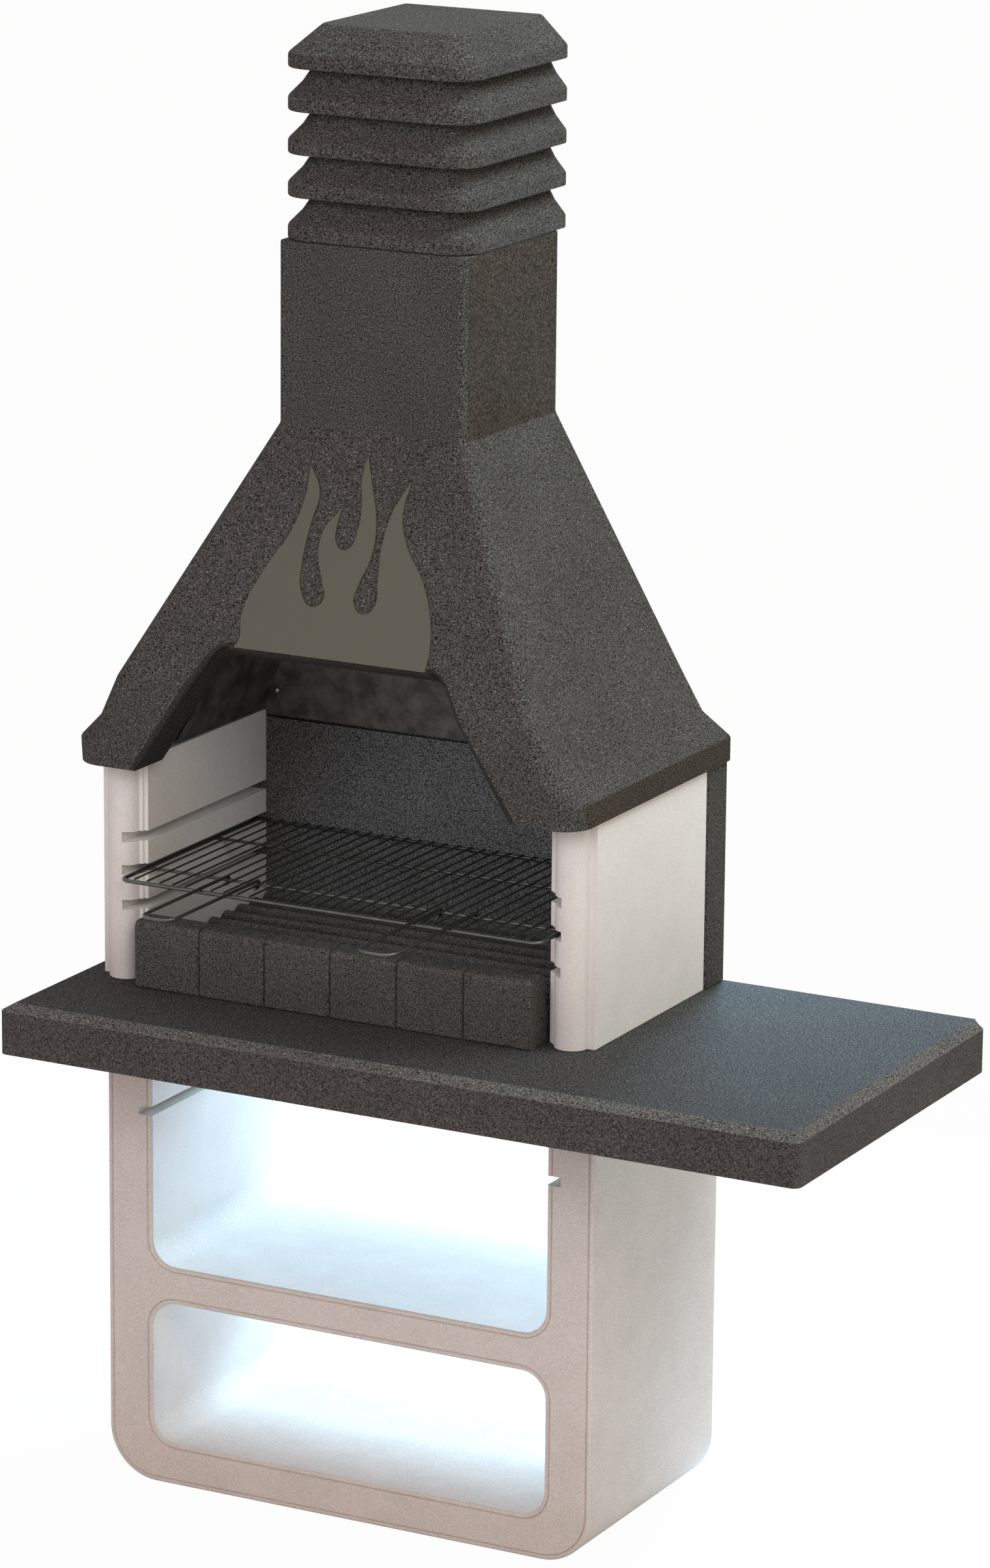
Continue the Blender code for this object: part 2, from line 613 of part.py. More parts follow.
def make_flame_plate(parts, steel):
    """The flame-shaped sheet on the hood's front slope, with a folded lower edge."""
    curve = bpy.data.curves.new("flame_plate", "CURVE")
    curve.dimensions = "2D"
    curve.fill_mode = "BOTH"
    curve.extrude = PLATE_THICKNESS / 2
    curve.resolution_u = 4
    left_foot = (-PLATE_WIDTH / 2 + PLATE_SHIFT, 0, True)
    right_foot = (PLATE_WIDTH / 2 + PLATE_SHIFT, 0, True)
    outline = [left_foot]
    for across_share, up_share, sharp in FLAME_SHARES:
        outline.append((across_share * PLATE_WIDTH + PLATE_SHIFT, up_share * PLATE_HEIGHT, sharp))
    outline.append(right_foot)
    spline = curve.splines.new("BEZIER")
    spline.bezier_points.add(len(outline) - 1)
    for point, (across, up, sharp) in zip(spline.bezier_points, outline):
        point.co = (across, up, 0)
        handle = "VECTOR" if sharp else "AUTO"
        point.handle_left_type = handle
        point.handle_right_type = handle
    spline.use_cyclic_u = True
    plate = bpy.data.objects.new("flame_plate", curve)
    plate.rotation_euler.x = math.pi / 2 - SLOPE_TILT
    proud = GAP + PLATE_THICKNESS / 2
    up_slope = Vector((0, math.sin(SLOPE_TILT), math.cos(SLOPE_TILT)))
    outward = Vector((0, -math.cos(SLOPE_TILT), math.sin(SLOPE_TILT)))
    foot = Vector((0, HOOD_FRONT, HOOD_CREASE))
    plate.location = foot + up_slope * PLATE_RISE + outward * proud
    return curve_to_mesh(plate, parts, steel)


def make_plate_flange(parts, plate):
    """The folded lower edge of the flame plate, joined to the plate itself."""
    up_slope = Vector((0, math.sin(SLOPE_TILT), math.cos(SLOPE_TILT)))
    inward = Vector((0, math.cos(SLOPE_TILT), -math.sin(SLOPE_TILT)))
    corner = Vector((0, HOOD_FRONT, HOOD_CREASE)) + up_slope * PLATE_RISE - inward * GAP
    mesh_data = bmesh.new()
    bmesh.ops.create_cube(mesh_data, size=1)
    length = PLATE_WIDTH - 2 * PLATE_FLANGE_SIDE
    depth = PLATE_FLANGE_DEPTH + PLATE_THICKNESS / 2
    bmesh.ops.scale(mesh_data, vec=(length, PLATE_THICKNESS, depth), verts=mesh_data.verts)
    lift = Vector((PLATE_SHIFT, PLATE_THICKNESS * 2 / 3, -depth / 2 + PLATE_THICKNESS / 2))
    bmesh.ops.translate(mesh_data, vec=lift, verts=mesh_data.verts)
    axes = Matrix((Vector((1, 0, 0)), up_slope, -inward)).transposed().to_4x4()
    axes.translation = corner
    bmesh.ops.transform(mesh_data, matrix=axes, verts=mesh_data.verts)
    flange = as_cutter(mesh_object("flame_plate_flange", mesh_data, parts, None))
    union = plate.modifiers.new("fold", "BOOLEAN")
    union.operation = "UNION"
    union.solver = "EXACT"
    union.object = flange


def liner_half_width(rise):
    """Return the liner's half width at a rise above the walls."""
    return HALF_CLEAR + LINER_SEAT - rise * math.tan(LINER_SIDE_LEAN)


def liner_back(rise):
    """Return the depth of the inner face of the liner's rear flange at a rise."""
    stack = (2 * LINER_SHEET + GAP) / math.cos(LINER_BACK_LEAN)
    return PANEL_FACE - GAP - stack - (rise + LINER_BACK_DROP) * math.tan(LINER_BACK_LEAN)


def liner_front(rise):
    """Return the depth of the side sheets' front edge at a rise."""
    return WALL_FRONT + LINER_FRONT_SETBACK + rise * math.tan(LINER_FRONT_LEAN)


def make_sheet(name, faces, offset, parts, steel):
    """Return a folded sheet: flat faces that share edges, thickened to one side."""
    mesh_data = bmesh.new()
    for corners in faces:
        mesh_data.faces.new([mesh_data.verts.new(corner) for corner in corners])
    bmesh.ops.remove_doubles(mesh_data, verts=mesh_data.verts, dist=GAP / 10)
    mesh = bpy.data.meshes.new(name)
    mesh_data.to_mesh(mesh)
    mesh_data.free()
    sheet = place(bpy.data.objects.new(name, mesh), parts, steel)
    thicken = sheet.modifiers.new("sheet", "SOLIDIFY")
    thicken.thickness = LINER_SHEET
    thicken.offset = offset
    thicken.use_even_offset = True
    return sheet


def make_liner_side(name, side, parts, steel):
    """A side sheet of the liner that leans inward, with a flange along its rear edge."""
    foot = LINER_SHEET
    top = LINER_HEIGHT
    front_foot = Vector((side * liner_half_width(foot), liner_front(foot), WALL_TOP + foot))
    back_foot = Vector((side * liner_half_width(foot), liner_back(foot), WALL_TOP + foot))
    front_top = Vector((side * liner_half_width(top), liner_front(top), WALL_TOP + top))
    back_top = Vector((side * liner_half_width(top), liner_back(top), WALL_TOP + top))
    inward = Vector((-side * LINER_FLANGE, 0, 0))
    wing = [front_foot, back_foot, back_top, front_top]
    flange = [back_foot, back_foot + inward, back_top + inward, back_top]
    return make_sheet(name, (wing, flange), side, parts, steel)


def make_liner_back(parts, steel):
    """The liner's rear sheet, behind the side sheets' flanges."""
    behind = (LINER_SHEET + GAP) / math.cos(LINER_BACK_LEAN)
    foot = -LINER_BACK_DROP
    top = LINER_HEIGHT
    foot_half = HALF_CLEAR - GAP
    seat_half = liner_half_width(0) - LINER_SEAT - GAP
    corners = (
        Vector((-foot_half, liner_back(foot) + behind, WALL_TOP + foot)),
        Vector((foot_half, liner_back(foot) + behind, WALL_TOP + foot)),
        Vector((seat_half, liner_back(0) + behind, WALL_TOP)),
        Vector((liner_half_width(top), liner_back(top) + behind, WALL_TOP + top)),
        Vector((-liner_half_width(top), liner_back(top) + behind, WALL_TOP + top)),
        Vector((-seat_half, liner_back(0) + behind, WALL_TOP)),
    )
    return make_sheet("liner_back", (corners,), -1, parts, steel)


def rivet_frames():
    """Return the middle of each rivet's grip, as a matrix whose Z axis is the rivet's."""
    frames = []
    lean = Matrix.Rotation(math.pi / 2 + LINER_BACK_LEAN, 4, "X")
    for side in (-1, 1):
        for row in range(RIVET_ROWS):
            rise = RIVET_FIRST_RISE + RIVET_PITCH * row
            if rise > LINER_HEIGHT - RIVET_HEAD:
                break
            across = side * (liner_half_width(rise) - LINER_FLANGE / 2)
            grip = (LINER_SHEET + GAP / 2) / math.cos(LINER_BACK_LEAN)
            middle = Vector((across, liner_back(rise) + grip, WALL_TOP + rise))
            frames.append(Matrix.Translation(middle) @ lean)
    return frames


def make_rivets(parts, cutters, sheets, steel):
    """The rivets that hold the three sheets together, and their holes."""
    half_grip = LINER_SHEET + GAP / 2 + GAP
    shank = RIVET_SHANK / 2
    head = RIVET_HEAD / 2
    head_edge = half_grip + RIVET_HEAD_HEIGHT / 2
    head_end = half_grip + RIVET_HEAD_HEIGHT
    profile = (
        (0, -head_end), (head * 2 / 3, -head_end), (head, -head_edge), (head, -half_grip),
        (shank, -half_grip), (shank, half_grip), (head, half_grip), (head, head_edge),
        (head * 2 / 3, head_end), (0, head_end),
    )
    body = bmesh.new()
    points = [body.verts.new((radius, 0, along)) for radius, along in profile]
    edges = [body.edges.new(pair) for pair in zip(points, points[1:])]
    bmesh.ops.spin(body, geom=points + edges, cent=(0, 0, 0), axis=(0, 0, 1), angle=math.tau,
                   steps=RIVET_STEPS, use_merge=True)
    bmesh.ops.remove_doubles(body, verts=body.verts, dist=GAP / 10)
    bmesh.ops.recalc_face_normals(body, faces=body.faces)
    mesh = bpy.data.meshes.new("liner_rivet")
    body.to_mesh(mesh)
    body.free()
    mesh.materials.append(steel)
    holes = bmesh.new()
    hole = shank + GAP * 2
    for index, frame in enumerate(rivet_frames()):
        rivet = bpy.data.objects.new("liner_rivet_" + str(index + 1), mesh)
        rivet.matrix_world = frame
        place(rivet, parts, None)
        bmesh.ops.create_cone(holes, cap_ends=True, segments=RIVET_STEPS, radius1=hole,
                              radius2=hole, depth=4 * half_grip, matrix=frame)
    cutter = as_cutter(mesh_object("rivet_holes", holes, cutters, None))
    for sheet in sheets:
        cut(sheet, cutter)


def pot_section(height, inset, radius):
    """Return a section of the chimney pot, drawn in at its front and sides but not at its back."""
    return plan_section(POT_WIDTH / 2 - inset, POT_FRONT + inset, POT_BACK, height, radius, 0)


def make_pot_ring(name, bottom, slotted, parts, cutters, concrete):
    """A hollow chimney ring: a band, a chamfer above it and a smoke slot in its back."""
    top = bottom + POT_PITCH - GAP
    band_top = bottom + POT_BAND
    middle_height = (band_top + top) / 2
    hollow = POT_INSET * POT_HOLLOW_SHARE
    sections = (
        pot_section(bottom, 0, POT_CORNER), pot_section(band_top, 0, POT_CORNER),
        pot_section(middle_height, hollow, POT_CORNER - hollow / 2),
        pot_section(top, POT_INSET, POT_CORNER - POT_INSET / 2),
    )
    ring = loft(name, sections, parts, concrete)
    flue_half = POT_WIDTH / 2 - POT_INSET - POT_WALL / 2
    flue_front = POT_FRONT + POT_INSET + POT_WALL / 2
    flue_back = POT_BACK - POT_WALL
    low = (-flue_half, flue_front, bottom - OVERRUN)
    high = (flue_half, flue_back, top + OVERRUN)
    cut_box(ring, name + "_flue", low, high, cutters)
    if slotted:
        slot_bottom = (bottom + top - SMOKE_SLOT_HEIGHT) / 2
        slot_low = (-SMOKE_SLOT_WIDTH / 2, flue_back - OVERRUN, slot_bottom)
        slot_high = (SMOKE_SLOT_WIDTH / 2, POT_BACK + OVERRUN, slot_bottom + SMOKE_SLOT_HEIGHT)
        cut_box(ring, name + "_slot", slot_low, slot_high, cutters)
    return ring


def make_cap(bottom, parts, cutters, concrete):
    """The chimney cap: a band and a chamfer up to a flat top, hollow underneath."""
    band_top = bottom + POT_BAND
    top = bottom + POT_PITCH - GAP
    sections = (
        pot_section(bottom, 0, POT_CORNER), pot_section(band_top, 0, POT_CORNER),
        pot_section(top, CAP_INSET, POT_CORNER - CAP_INSET / 2),
    )
    cap = loft("chimney_cap", sections, parts, concrete)
    half = POT_WIDTH / 2 - POT_INSET - POT_WALL / 2
    low = (-half, POT_FRONT + POT_INSET + POT_WALL / 2, bottom - OVERRUN)
    high = (half, POT_BACK - POT_WALL, top - CAP_TOP)
    cut_box(cap, "chimney_cap_hollow", low, high, cutters)
    return cap


def make_chimney(parts, cutters, concrete):
    """The chimney pot: a base ring, three slotted rings and a cap, stacked on the shaft."""
    bottom = SHAFT_TOP + GAP
    make_pot_ring("chimney_base_ring", bottom, False, parts, cutters, concrete)
    for index in range(POT_RINGS):
        ring_bottom = bottom + POT_PITCH * (index + 1)
        make_pot_ring("chimney_ring_" + str(index + 1), ring_bottom, True, parts, cutters, concrete)
    make_cap(bottom + POT_PITCH * (POT_RINGS + 1), parts, cutters, concrete)


def make_grill(parts, cutters, steel):
    """The grill: a U-shaped frame and a welded grid of three cross wires and the bars."""
    half = GRILL_HALF_WIDTH
    depth = GRILL_BACK - GRILL_FRONT
    frame_points = ((-half, depth, 0), (-half, 0, 0), (half, 0, 0), (half, depth, 0))
    frame_path = rounded(frame_points, (0, FRAME_CORNER, FRAME_CORNER, 0), WIRE_STEPS)
    frame = bpy.data.objects.new("grill_frame", wire_curve("grill_frame", (frame_path,), FRAME_WIRE))
    frame.location = (0, GRILL_FRONT, GRILL_HEIGHT)
    place(frame, parts, steel)
    cross_half = half - FRAME_WIRE / 2 - GAP
    cross_paths = []
    for along in (FRONT_CROSS, MIDDLE_CROSS, REAR_CROSS):
        setback = along - GRILL_FRONT
        cross_paths.append(((-cross_half, setback, 0), (cross_half, setback, 0)))
    bar_rise = (FRAME_WIRE + BAR_WIRE) / 2 - WELD_SINK
    bar_front = FRAME_WIRE / 2 + GAP
    bar_back = REAR_CROSS - GRILL_FRONT + FRAME_WIRE / 2
    pitch = 2 * half / (BAR_COUNT + 1)
    bar_paths = []
    for index in range(BAR_COUNT):
        across = pitch * (index + 1) - half
        bar_paths.append(((across, bar_front, bar_rise), (across, bar_back, bar_rise)))
    grid = bpy.data.objects.new("grill_grid", wire_curve("grill_grid", cross_paths, FRAME_WIRE))
    bars = bpy.data.objects.new("grill_bars", wire_curve("grill_bars", bar_paths, BAR_WIRE))
    grid.location = frame.location
    bars.location = frame.location
    grid = curve_to_mesh(grid, parts, steel)
    bars = as_cutter(curve_to_mesh(bars, cutters, None))
    weld = grid.modifiers.new("weld", "BOOLEAN")
    weld.operation = "UNION"
    weld.solver = "EXACT"
    weld.object = bars
    return frame


def make_handle(name, left_x, right_x, frame, parts, steel):
    """A wire handle hooked on the front cross wire. Its origin is on that wire's axis."""
    rise = (FRAME_WIRE + HANDLE_WIRE) / 2 + GAP
    hook = []
    for step in range(WIRE_STEPS + 1):
        angle = math.pi * step / WIRE_STEPS
        hook.append((rise * math.sin(angle), -rise * math.cos(angle)))
    tail = (-HANDLE_HOOK_TAIL, -rise)
    side = [tail] + hook
    left_leg = [Vector((left_x, along, up)) for along, up in side]
    right_leg = [Vector((right_x, along, up)) for along, up in reversed(side)]
    loop_points = (
        (left_x, 0, rise), (left_x, -HANDLE_REACH, rise), (right_x, -HANDLE_REACH, rise),
        (right_x, 0, rise),
    )
    radii = (0, HANDLE_LOOP_RADIUS, HANDLE_LOOP_RADIUS, 0)
    loop = rounded(loop_points, radii, WIRE_STEPS)[1:-1]
    path = left_leg + loop + right_leg
    handle = bpy.data.objects.new(name, wire_curve(name, (path,), HANDLE_WIRE))
    handle.parent = frame
    handle.location = (0, FRONT_CROSS - GRILL_FRONT, 0)
    return place(handle, parts, steel)


def main():
    """Build the barbecue."""
    clear_scene()
    parts = new_collection("masonry_barbecue")
    cutters = new_collection("cutters")
    cement = material("white_cement", (0.66, 0.64, 0.60), 0.85, 0.0)
    concrete = material("dark_concrete", (0.085, 0.080, 0.076), 0.90, 0.0)
    clay = material("fire_clay", (0.062, 0.056, 0.052), 0.90, 0.0)
    plate_steel = material("painted_steel", (0.130, 0.115, 0.090), 0.60, 0.0)
    liner_steel = material("liner_steel", (0.045, 0.040, 0.038), 0.45, 0.8)
    wire_steel = material("chromed_wire", (0.42, 0.42, 0.40), 0.30, 1.0)
    make_base(parts, cutters, cement)
    make_worktop(parts, concrete)
    make_wall("wall_left", -1, parts, cutters, cement)
    make_wall("wall_right", 1, parts, cutters, cement)
    make_back_panel(parts, concrete)
    for index in range(BRICK_COUNT):
        make_brick(index, parts, clay)
    make_hood(parts, cutters, concrete)
    plate = make_flame_plate(parts, plate_steel)
    make_plate_flange(cutters, plate)
    sheets = (
        make_liner_side("liner_left", -1, parts, liner_steel),
        make_liner_side("liner_right", 1, parts, liner_steel),
        make_liner_back(parts, liner_steel),
    )
    make_rivets(parts, cutters, sheets, liner_steel)
    make_chimney(parts, cutters, concrete)
    frame = make_grill(parts, cutters, wire_steel)
    make_handle("handle_left", -LEFT_HANDLE_OUTER, -LEFT_HANDLE_INNER, frame, parts, wire_steel)
    make_handle("handle_right", RIGHT_HANDLE_INNER, RIGHT_HANDLE_OUTER, frame, parts, wire_steel)
    bpy.context.view_layer.update()


main()
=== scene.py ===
"""Outdoor masonry barbecue: the looks of a cast cement and concrete garden barbecue.

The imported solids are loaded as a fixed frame, in metres: the origin is the centre of the base's
underside, the front faces -Y, the worktop reaches out to +X and +Z is up. Each sub-assembly is a
class that holds its sizes, builds its pieces with mesh operators and dresses them.
"""

import json
import logging
import math
from collections.abc import Callable, Sequence
from dataclasses import dataclass
from enum import Enum
from functools import cache

import bmesh
import bpy
from bmesh.types import BMEdge, BMesh, BMFace, BMVert
from mathutils import Matrix, Vector

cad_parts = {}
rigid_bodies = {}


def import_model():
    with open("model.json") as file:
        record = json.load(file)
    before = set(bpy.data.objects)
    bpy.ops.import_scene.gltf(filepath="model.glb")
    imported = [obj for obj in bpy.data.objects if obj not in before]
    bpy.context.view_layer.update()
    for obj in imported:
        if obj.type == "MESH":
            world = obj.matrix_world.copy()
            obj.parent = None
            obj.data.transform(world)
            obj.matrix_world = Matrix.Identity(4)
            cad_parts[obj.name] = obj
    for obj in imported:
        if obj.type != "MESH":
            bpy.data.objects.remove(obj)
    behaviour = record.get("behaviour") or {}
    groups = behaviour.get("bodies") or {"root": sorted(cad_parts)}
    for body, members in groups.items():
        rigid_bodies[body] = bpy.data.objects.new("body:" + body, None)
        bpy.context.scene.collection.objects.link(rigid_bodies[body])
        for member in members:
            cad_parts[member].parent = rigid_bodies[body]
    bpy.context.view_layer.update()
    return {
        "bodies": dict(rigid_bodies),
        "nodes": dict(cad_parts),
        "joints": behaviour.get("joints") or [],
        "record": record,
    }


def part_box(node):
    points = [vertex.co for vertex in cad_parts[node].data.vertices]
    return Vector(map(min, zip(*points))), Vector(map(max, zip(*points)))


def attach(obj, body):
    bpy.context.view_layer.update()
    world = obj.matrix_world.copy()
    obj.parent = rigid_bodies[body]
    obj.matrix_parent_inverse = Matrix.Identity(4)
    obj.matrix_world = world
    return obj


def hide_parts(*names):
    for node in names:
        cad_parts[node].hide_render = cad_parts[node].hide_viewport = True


LOG = logging.getLogger("masonry_barbecue")

PHOTO_WIDTH_PX = 1520.0
PHOTO_HEIGHT_PX = 2408.0
MILLIMETRE = 0.001
GAP = 0.0003  # what the solids leave free between two pieces
SAME_PLACE = GAP / 10
OVERRUN = 0.020  # how far a cutting shape reaches past what it cuts
ALONG = 0.999  # share of its length from which an edge runs along an axis
FACING = 0.95  # part of its normal from which a face looks along an axis
CORNER_STEPS = 10  # strips in each rounded corner of a level section
X, Y, Z = range(3)
LAYER_SHARE, LAYER_UNDER, LAYER_OVER, LAYER_RESULT = 0, 6, 7, 2  # a Mix node's sockets for colours

Setting = float | bool | str | tuple[float, ...] | bpy.types.NodeSocket
Corner = tuple[float, float, float]
Span = tuple[float, float]
Section = tuple[float, float, float, float, float]  # half width, front, back, height, corner radius


class Side(Enum):
    """A side of the barbecue, seen from its front."""

    LEFT = -1
    RIGHT = 1

    @property
    def label(self) -> str:
        """The side's word in the names of pieces and nodes."""
        return self.name.lower()


class Slot(Enum):
    """The record's material slots, by name."""

    CEMENT = "white_cement"
    CONCRETE = "dark_concrete"
    CLAY = "fire_clay"
    LINER = "liner_steel"
    WIRE = "chromed_wire"


class Skin(Enum):
    """The place of a finish among the four of the hood."""

    OUTSIDE = 0
    REVEAL = 1
    CHAMBER = 2
    SIDE = 3


class Body(Enum):
    """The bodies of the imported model."""

    BARBECUE = "barbecue"
    GRILL = "grill"
    LEFT_HANDLE = "left_handle"
    RIGHT_HANDLE = "right_handle"


# Colours and node trees


def linear(code: str) -> tuple[float, float, float, float]:
    """Turn an sRGB hex colour into the linear values that a shader takes.

    Args:
        code: Six hex digits, two for each of red, green and blue.

    Returns:
        Linear red, green and blue, and full opacity.
    """
    channels = [int(code[place : place + 2], 16) / 255 for place in (0, 2, 4)]
    straight = [c / 12.92 if c <= 0.04045 else ((c + 0.055) / 1.055) ** 2.4 for c in channels]
    return (straight[0], straight[1], straight[2], 1.0)


def grains_per_metre(size_mm: float) -> float:
    """Return the texture scale at which one grain has a size in millimetres."""
    return 1.0 / (size_mm * MILLIMETRE)


def add_node(
    tree: bpy.types.NodeTree,
    kind: str,
    inputs: dict[str | int, Setting],
    output: str | int = 0,
    **settings: str,
) -> bpy.types.NodeSocket:
    """Add a shader node with its settings, its input values and its links.

    Args:
        tree: The node tree that gets the node.
        kind: The node's type name after ShaderNode.
        inputs: A value for an input, or the socket to link to it, by the input's name or place.
        output: The wanted output's name or place.
        settings: The node's own settings.

    Returns:
        The wanted output.
    """
    node = tree.nodes.new(f"ShaderNode{kind}")
    for key, value in settings.items():
        setattr(node, key, value)
    for key, value in inputs.items():
        if isinstance(value, bpy.types.NodeSocket):
            tree.links.new(value, node.inputs[key])
        else:
            node.inputs[key].default_value = value
    return node.outputs[output]


def new_finish(name: str) -> tuple[bpy.types.Material, bpy.types.NodeTree, bpy.types.Node]:
    """Start a material.

    Args:
        name: The material's name.

    Returns:
        The material, its node tree and its Principled shader.
    """
    made = bpy.data.materials.new(name)
    made.use_nodes = True
    return made, made.node_tree, made.node_tree.nodes["Principled BSDF"]


@dataclass(frozen=True)
class CastConcrete:
    """Dark concrete cast against a mould: a gritty skin of close black and pale sand grains.

    Attributes:
        name: The material's name.
        ground: The colour of the dark grains.
        pale: The colour of the pale grains.
        pit: The colour inside the pits.
        chip: The colour of the brightest chips.
        grain_mm: The size of the grains.
        relief_mm: How far they stand out.
        roughness: The shader's roughness.
        cloud_mm: The size of the slow clouds.
        cloud_depth: How much a cloud lightens or darkens the colour.
        shade: How far painted shade darkens the colour down to the bottom of the hollows; their crests get
            painted light.
        hollows: The heights of their bottom and their top.
    """

    name: str
    ground: str
    pale: str
    pit: str
    chip: str
    grain_mm: float
    relief_mm: float
    roughness: float = 0.95
    cloud_mm: float = 150.0
    cloud_depth: float = 0.08
    shade: float = 0.0
    hollows: Span = (0.838, 0.847)

    def _hollow_shade(
        self, tree: bpy.types.NodeTree, place: bpy.types.NodeSocket, depth: bpy.types.NodeSocket
    ) -> bpy.types.NodeSocket:
        """Paint shade into the finish from the top of its hollows down to their bottom, and light onto their
        crests.

        Args:
            tree: The material's node tree.
            place: Its Object coordinates.
            depth: Its brightness so far.

        Returns:
            Its brightness with the painted shade and painted light.
        """
        height = add_node(tree, "SeparateXYZ", {0: place}, "Z")
        low, high = self.hollows
        change = {"From Min": low, "From Max": high, "To Min": 1.0 - self.shade, "To Max": 1.25}
        share = add_node(tree, "MapRange", {"Value": height, **change})
        return add_node(tree, "Math", {0: depth, 1: share}, operation="MULTIPLY")

    def make(self) -> bpy.types.Material:
        """Build the material.

        Returns:
            A material whose grain, pits, chips and slow clouding follow Object coordinates.
        """
        made, tree, shader = new_finish(self.name)
        shader.inputs["Roughness"].default_value = self.roughness
        shader.inputs["Specular IOR Level"].default_value = 0.1
        place = add_node(tree, "TexCoord", {}, "Object")
        scale = grains_per_metre(self.grain_mm)
        slow = grains_per_metre(self.cloud_mm)
        grain = add_node(tree, "TexNoise", {"Vector": place, "Scale": scale, "Detail": 2.0, "Roughness": 0.6})
        specks = add_node(tree, "TexNoise", {"Vector": place, "Scale": scale * 0.7, "Detail": 1.0})
        cloud = add_node(tree, "TexNoise", {"Vector": place, "Scale": slow, "Detail": 4.0})
        tone = add_node(tree, "MapRange", {"Value": grain, "From Min": 0.36, "From Max": 0.64})
        lowest = {"Value": specks, "From Min": 0.34, "From Max": 0.42, "To Min": 1.0, "To Max": 0.0}
        hollow = add_node(tree, "MapRange", lowest)
        glint = add_node(tree, "MapRange", {"Value": specks, "From Min": 0.62, "From Max": 0.72})
        colour: Setting = linear(self.ground)
        for share, code in ((tone, self.pale), (hollow, self.pit), (glint, self.chip)):
            layers = {LAYER_SHARE: share, LAYER_UNDER: colour, LAYER_OVER: linear(code)}
            colour = add_node(tree, "Mix", layers, LAYER_RESULT, data_type="RGBA")
        swing = {"To Min": 1.0 - self.cloud_depth, "To Max": 1.0 + self.cloud_depth}
        depth = add_node(tree, "MapRange", {"Value": cloud, "From Min": 0.3, "From Max": 0.7, **swing})
        # Painted shade in the hollows and painted light on the crests, by height
        if self.shade:
            depth = self._hollow_shade(tree, place, depth)
        clouded = add_node(tree, "VectorMath", {0: colour, "Scale": depth}, operation="SCALE")
        tree.links.new(clouded, shader.inputs["Base Color"])
        height = add_node(tree, "Math", {0: hollow, 1: -0.6, 2: grain}, operation="MULTIPLY_ADD")
        relief = {"Strength": 0.8, "Distance": self.relief_mm * MILLIMETRE, "Height": height}
        tree.links.new(add_node(tree, "Bump", relief), shader.inputs["Normal"])
        return made


@dataclass(frozen=True)
class SmoothCement:
    """White cement with fine marble grit, cast smooth and wiped: matt, softly clouded.

    Attributes:
        name: The material's name.
        ground: Its main colour.
        cloud: The colour of its clouds.
        grit_mm: The size of the grit.
        cloud_mm: The size of the clouds.
        relief_mm: How far the grit stands out.
        roughness: The shader's roughness.
    """

    name: str
    ground: str
    cloud: str
    grit_mm: float = 1.5
    cloud_mm: float = 60.0
    relief_mm: float = 0.15
    roughness: float = 0.85

    def make(self) -> bpy.types.Material:
        """Build the material.

        Returns:
            A pale matt material with slow clouds and a fine sandy grain.
        """
        made, tree, shader = new_finish(self.name)
        shader.inputs["Roughness"].default_value = self.roughness
        shader.inputs["Specular IOR Level"].default_value = 0.3
        place = add_node(tree, "TexCoord", {}, "Object")
        slow = {"Scale": grains_per_metre(self.cloud_mm), "Detail": 5.0, "Roughness": 0.6}
        cloud = add_node(tree, "TexNoise", {"Vector": place, **slow})
        fine = {"Scale": grains_per_metre(self.grit_mm), "Detail": 2.0}
        grit = add_node(tree, "TexNoise", {"Vector": place, **fine})
        mixed = add_node(tree, "Math", {0: cloud, 1: 0.25, 2: grit}, operation="MULTIPLY_ADD")
        tone = add_node(tree, "MapRange", {"Value": mixed, "From Min": 0.45, "From Max": 0.8})
        layers = {LAYER_SHARE: tone, LAYER_UNDER: linear(self.cloud), LAYER_OVER: linear(self.ground)}
        colour = add_node(tree, "Mix", layers, LAYER_RESULT, data_type="RGBA")
        tree.links.new(colour, shader.inputs["Base Color"])
        relief = {"Strength": 0.5, "Distance": self.relief_mm * MILLIMETRE, "Height": mixed}
        tree.links.new(add_node(tree, "Bump", relief), shader.inputs["Normal"])
        return made


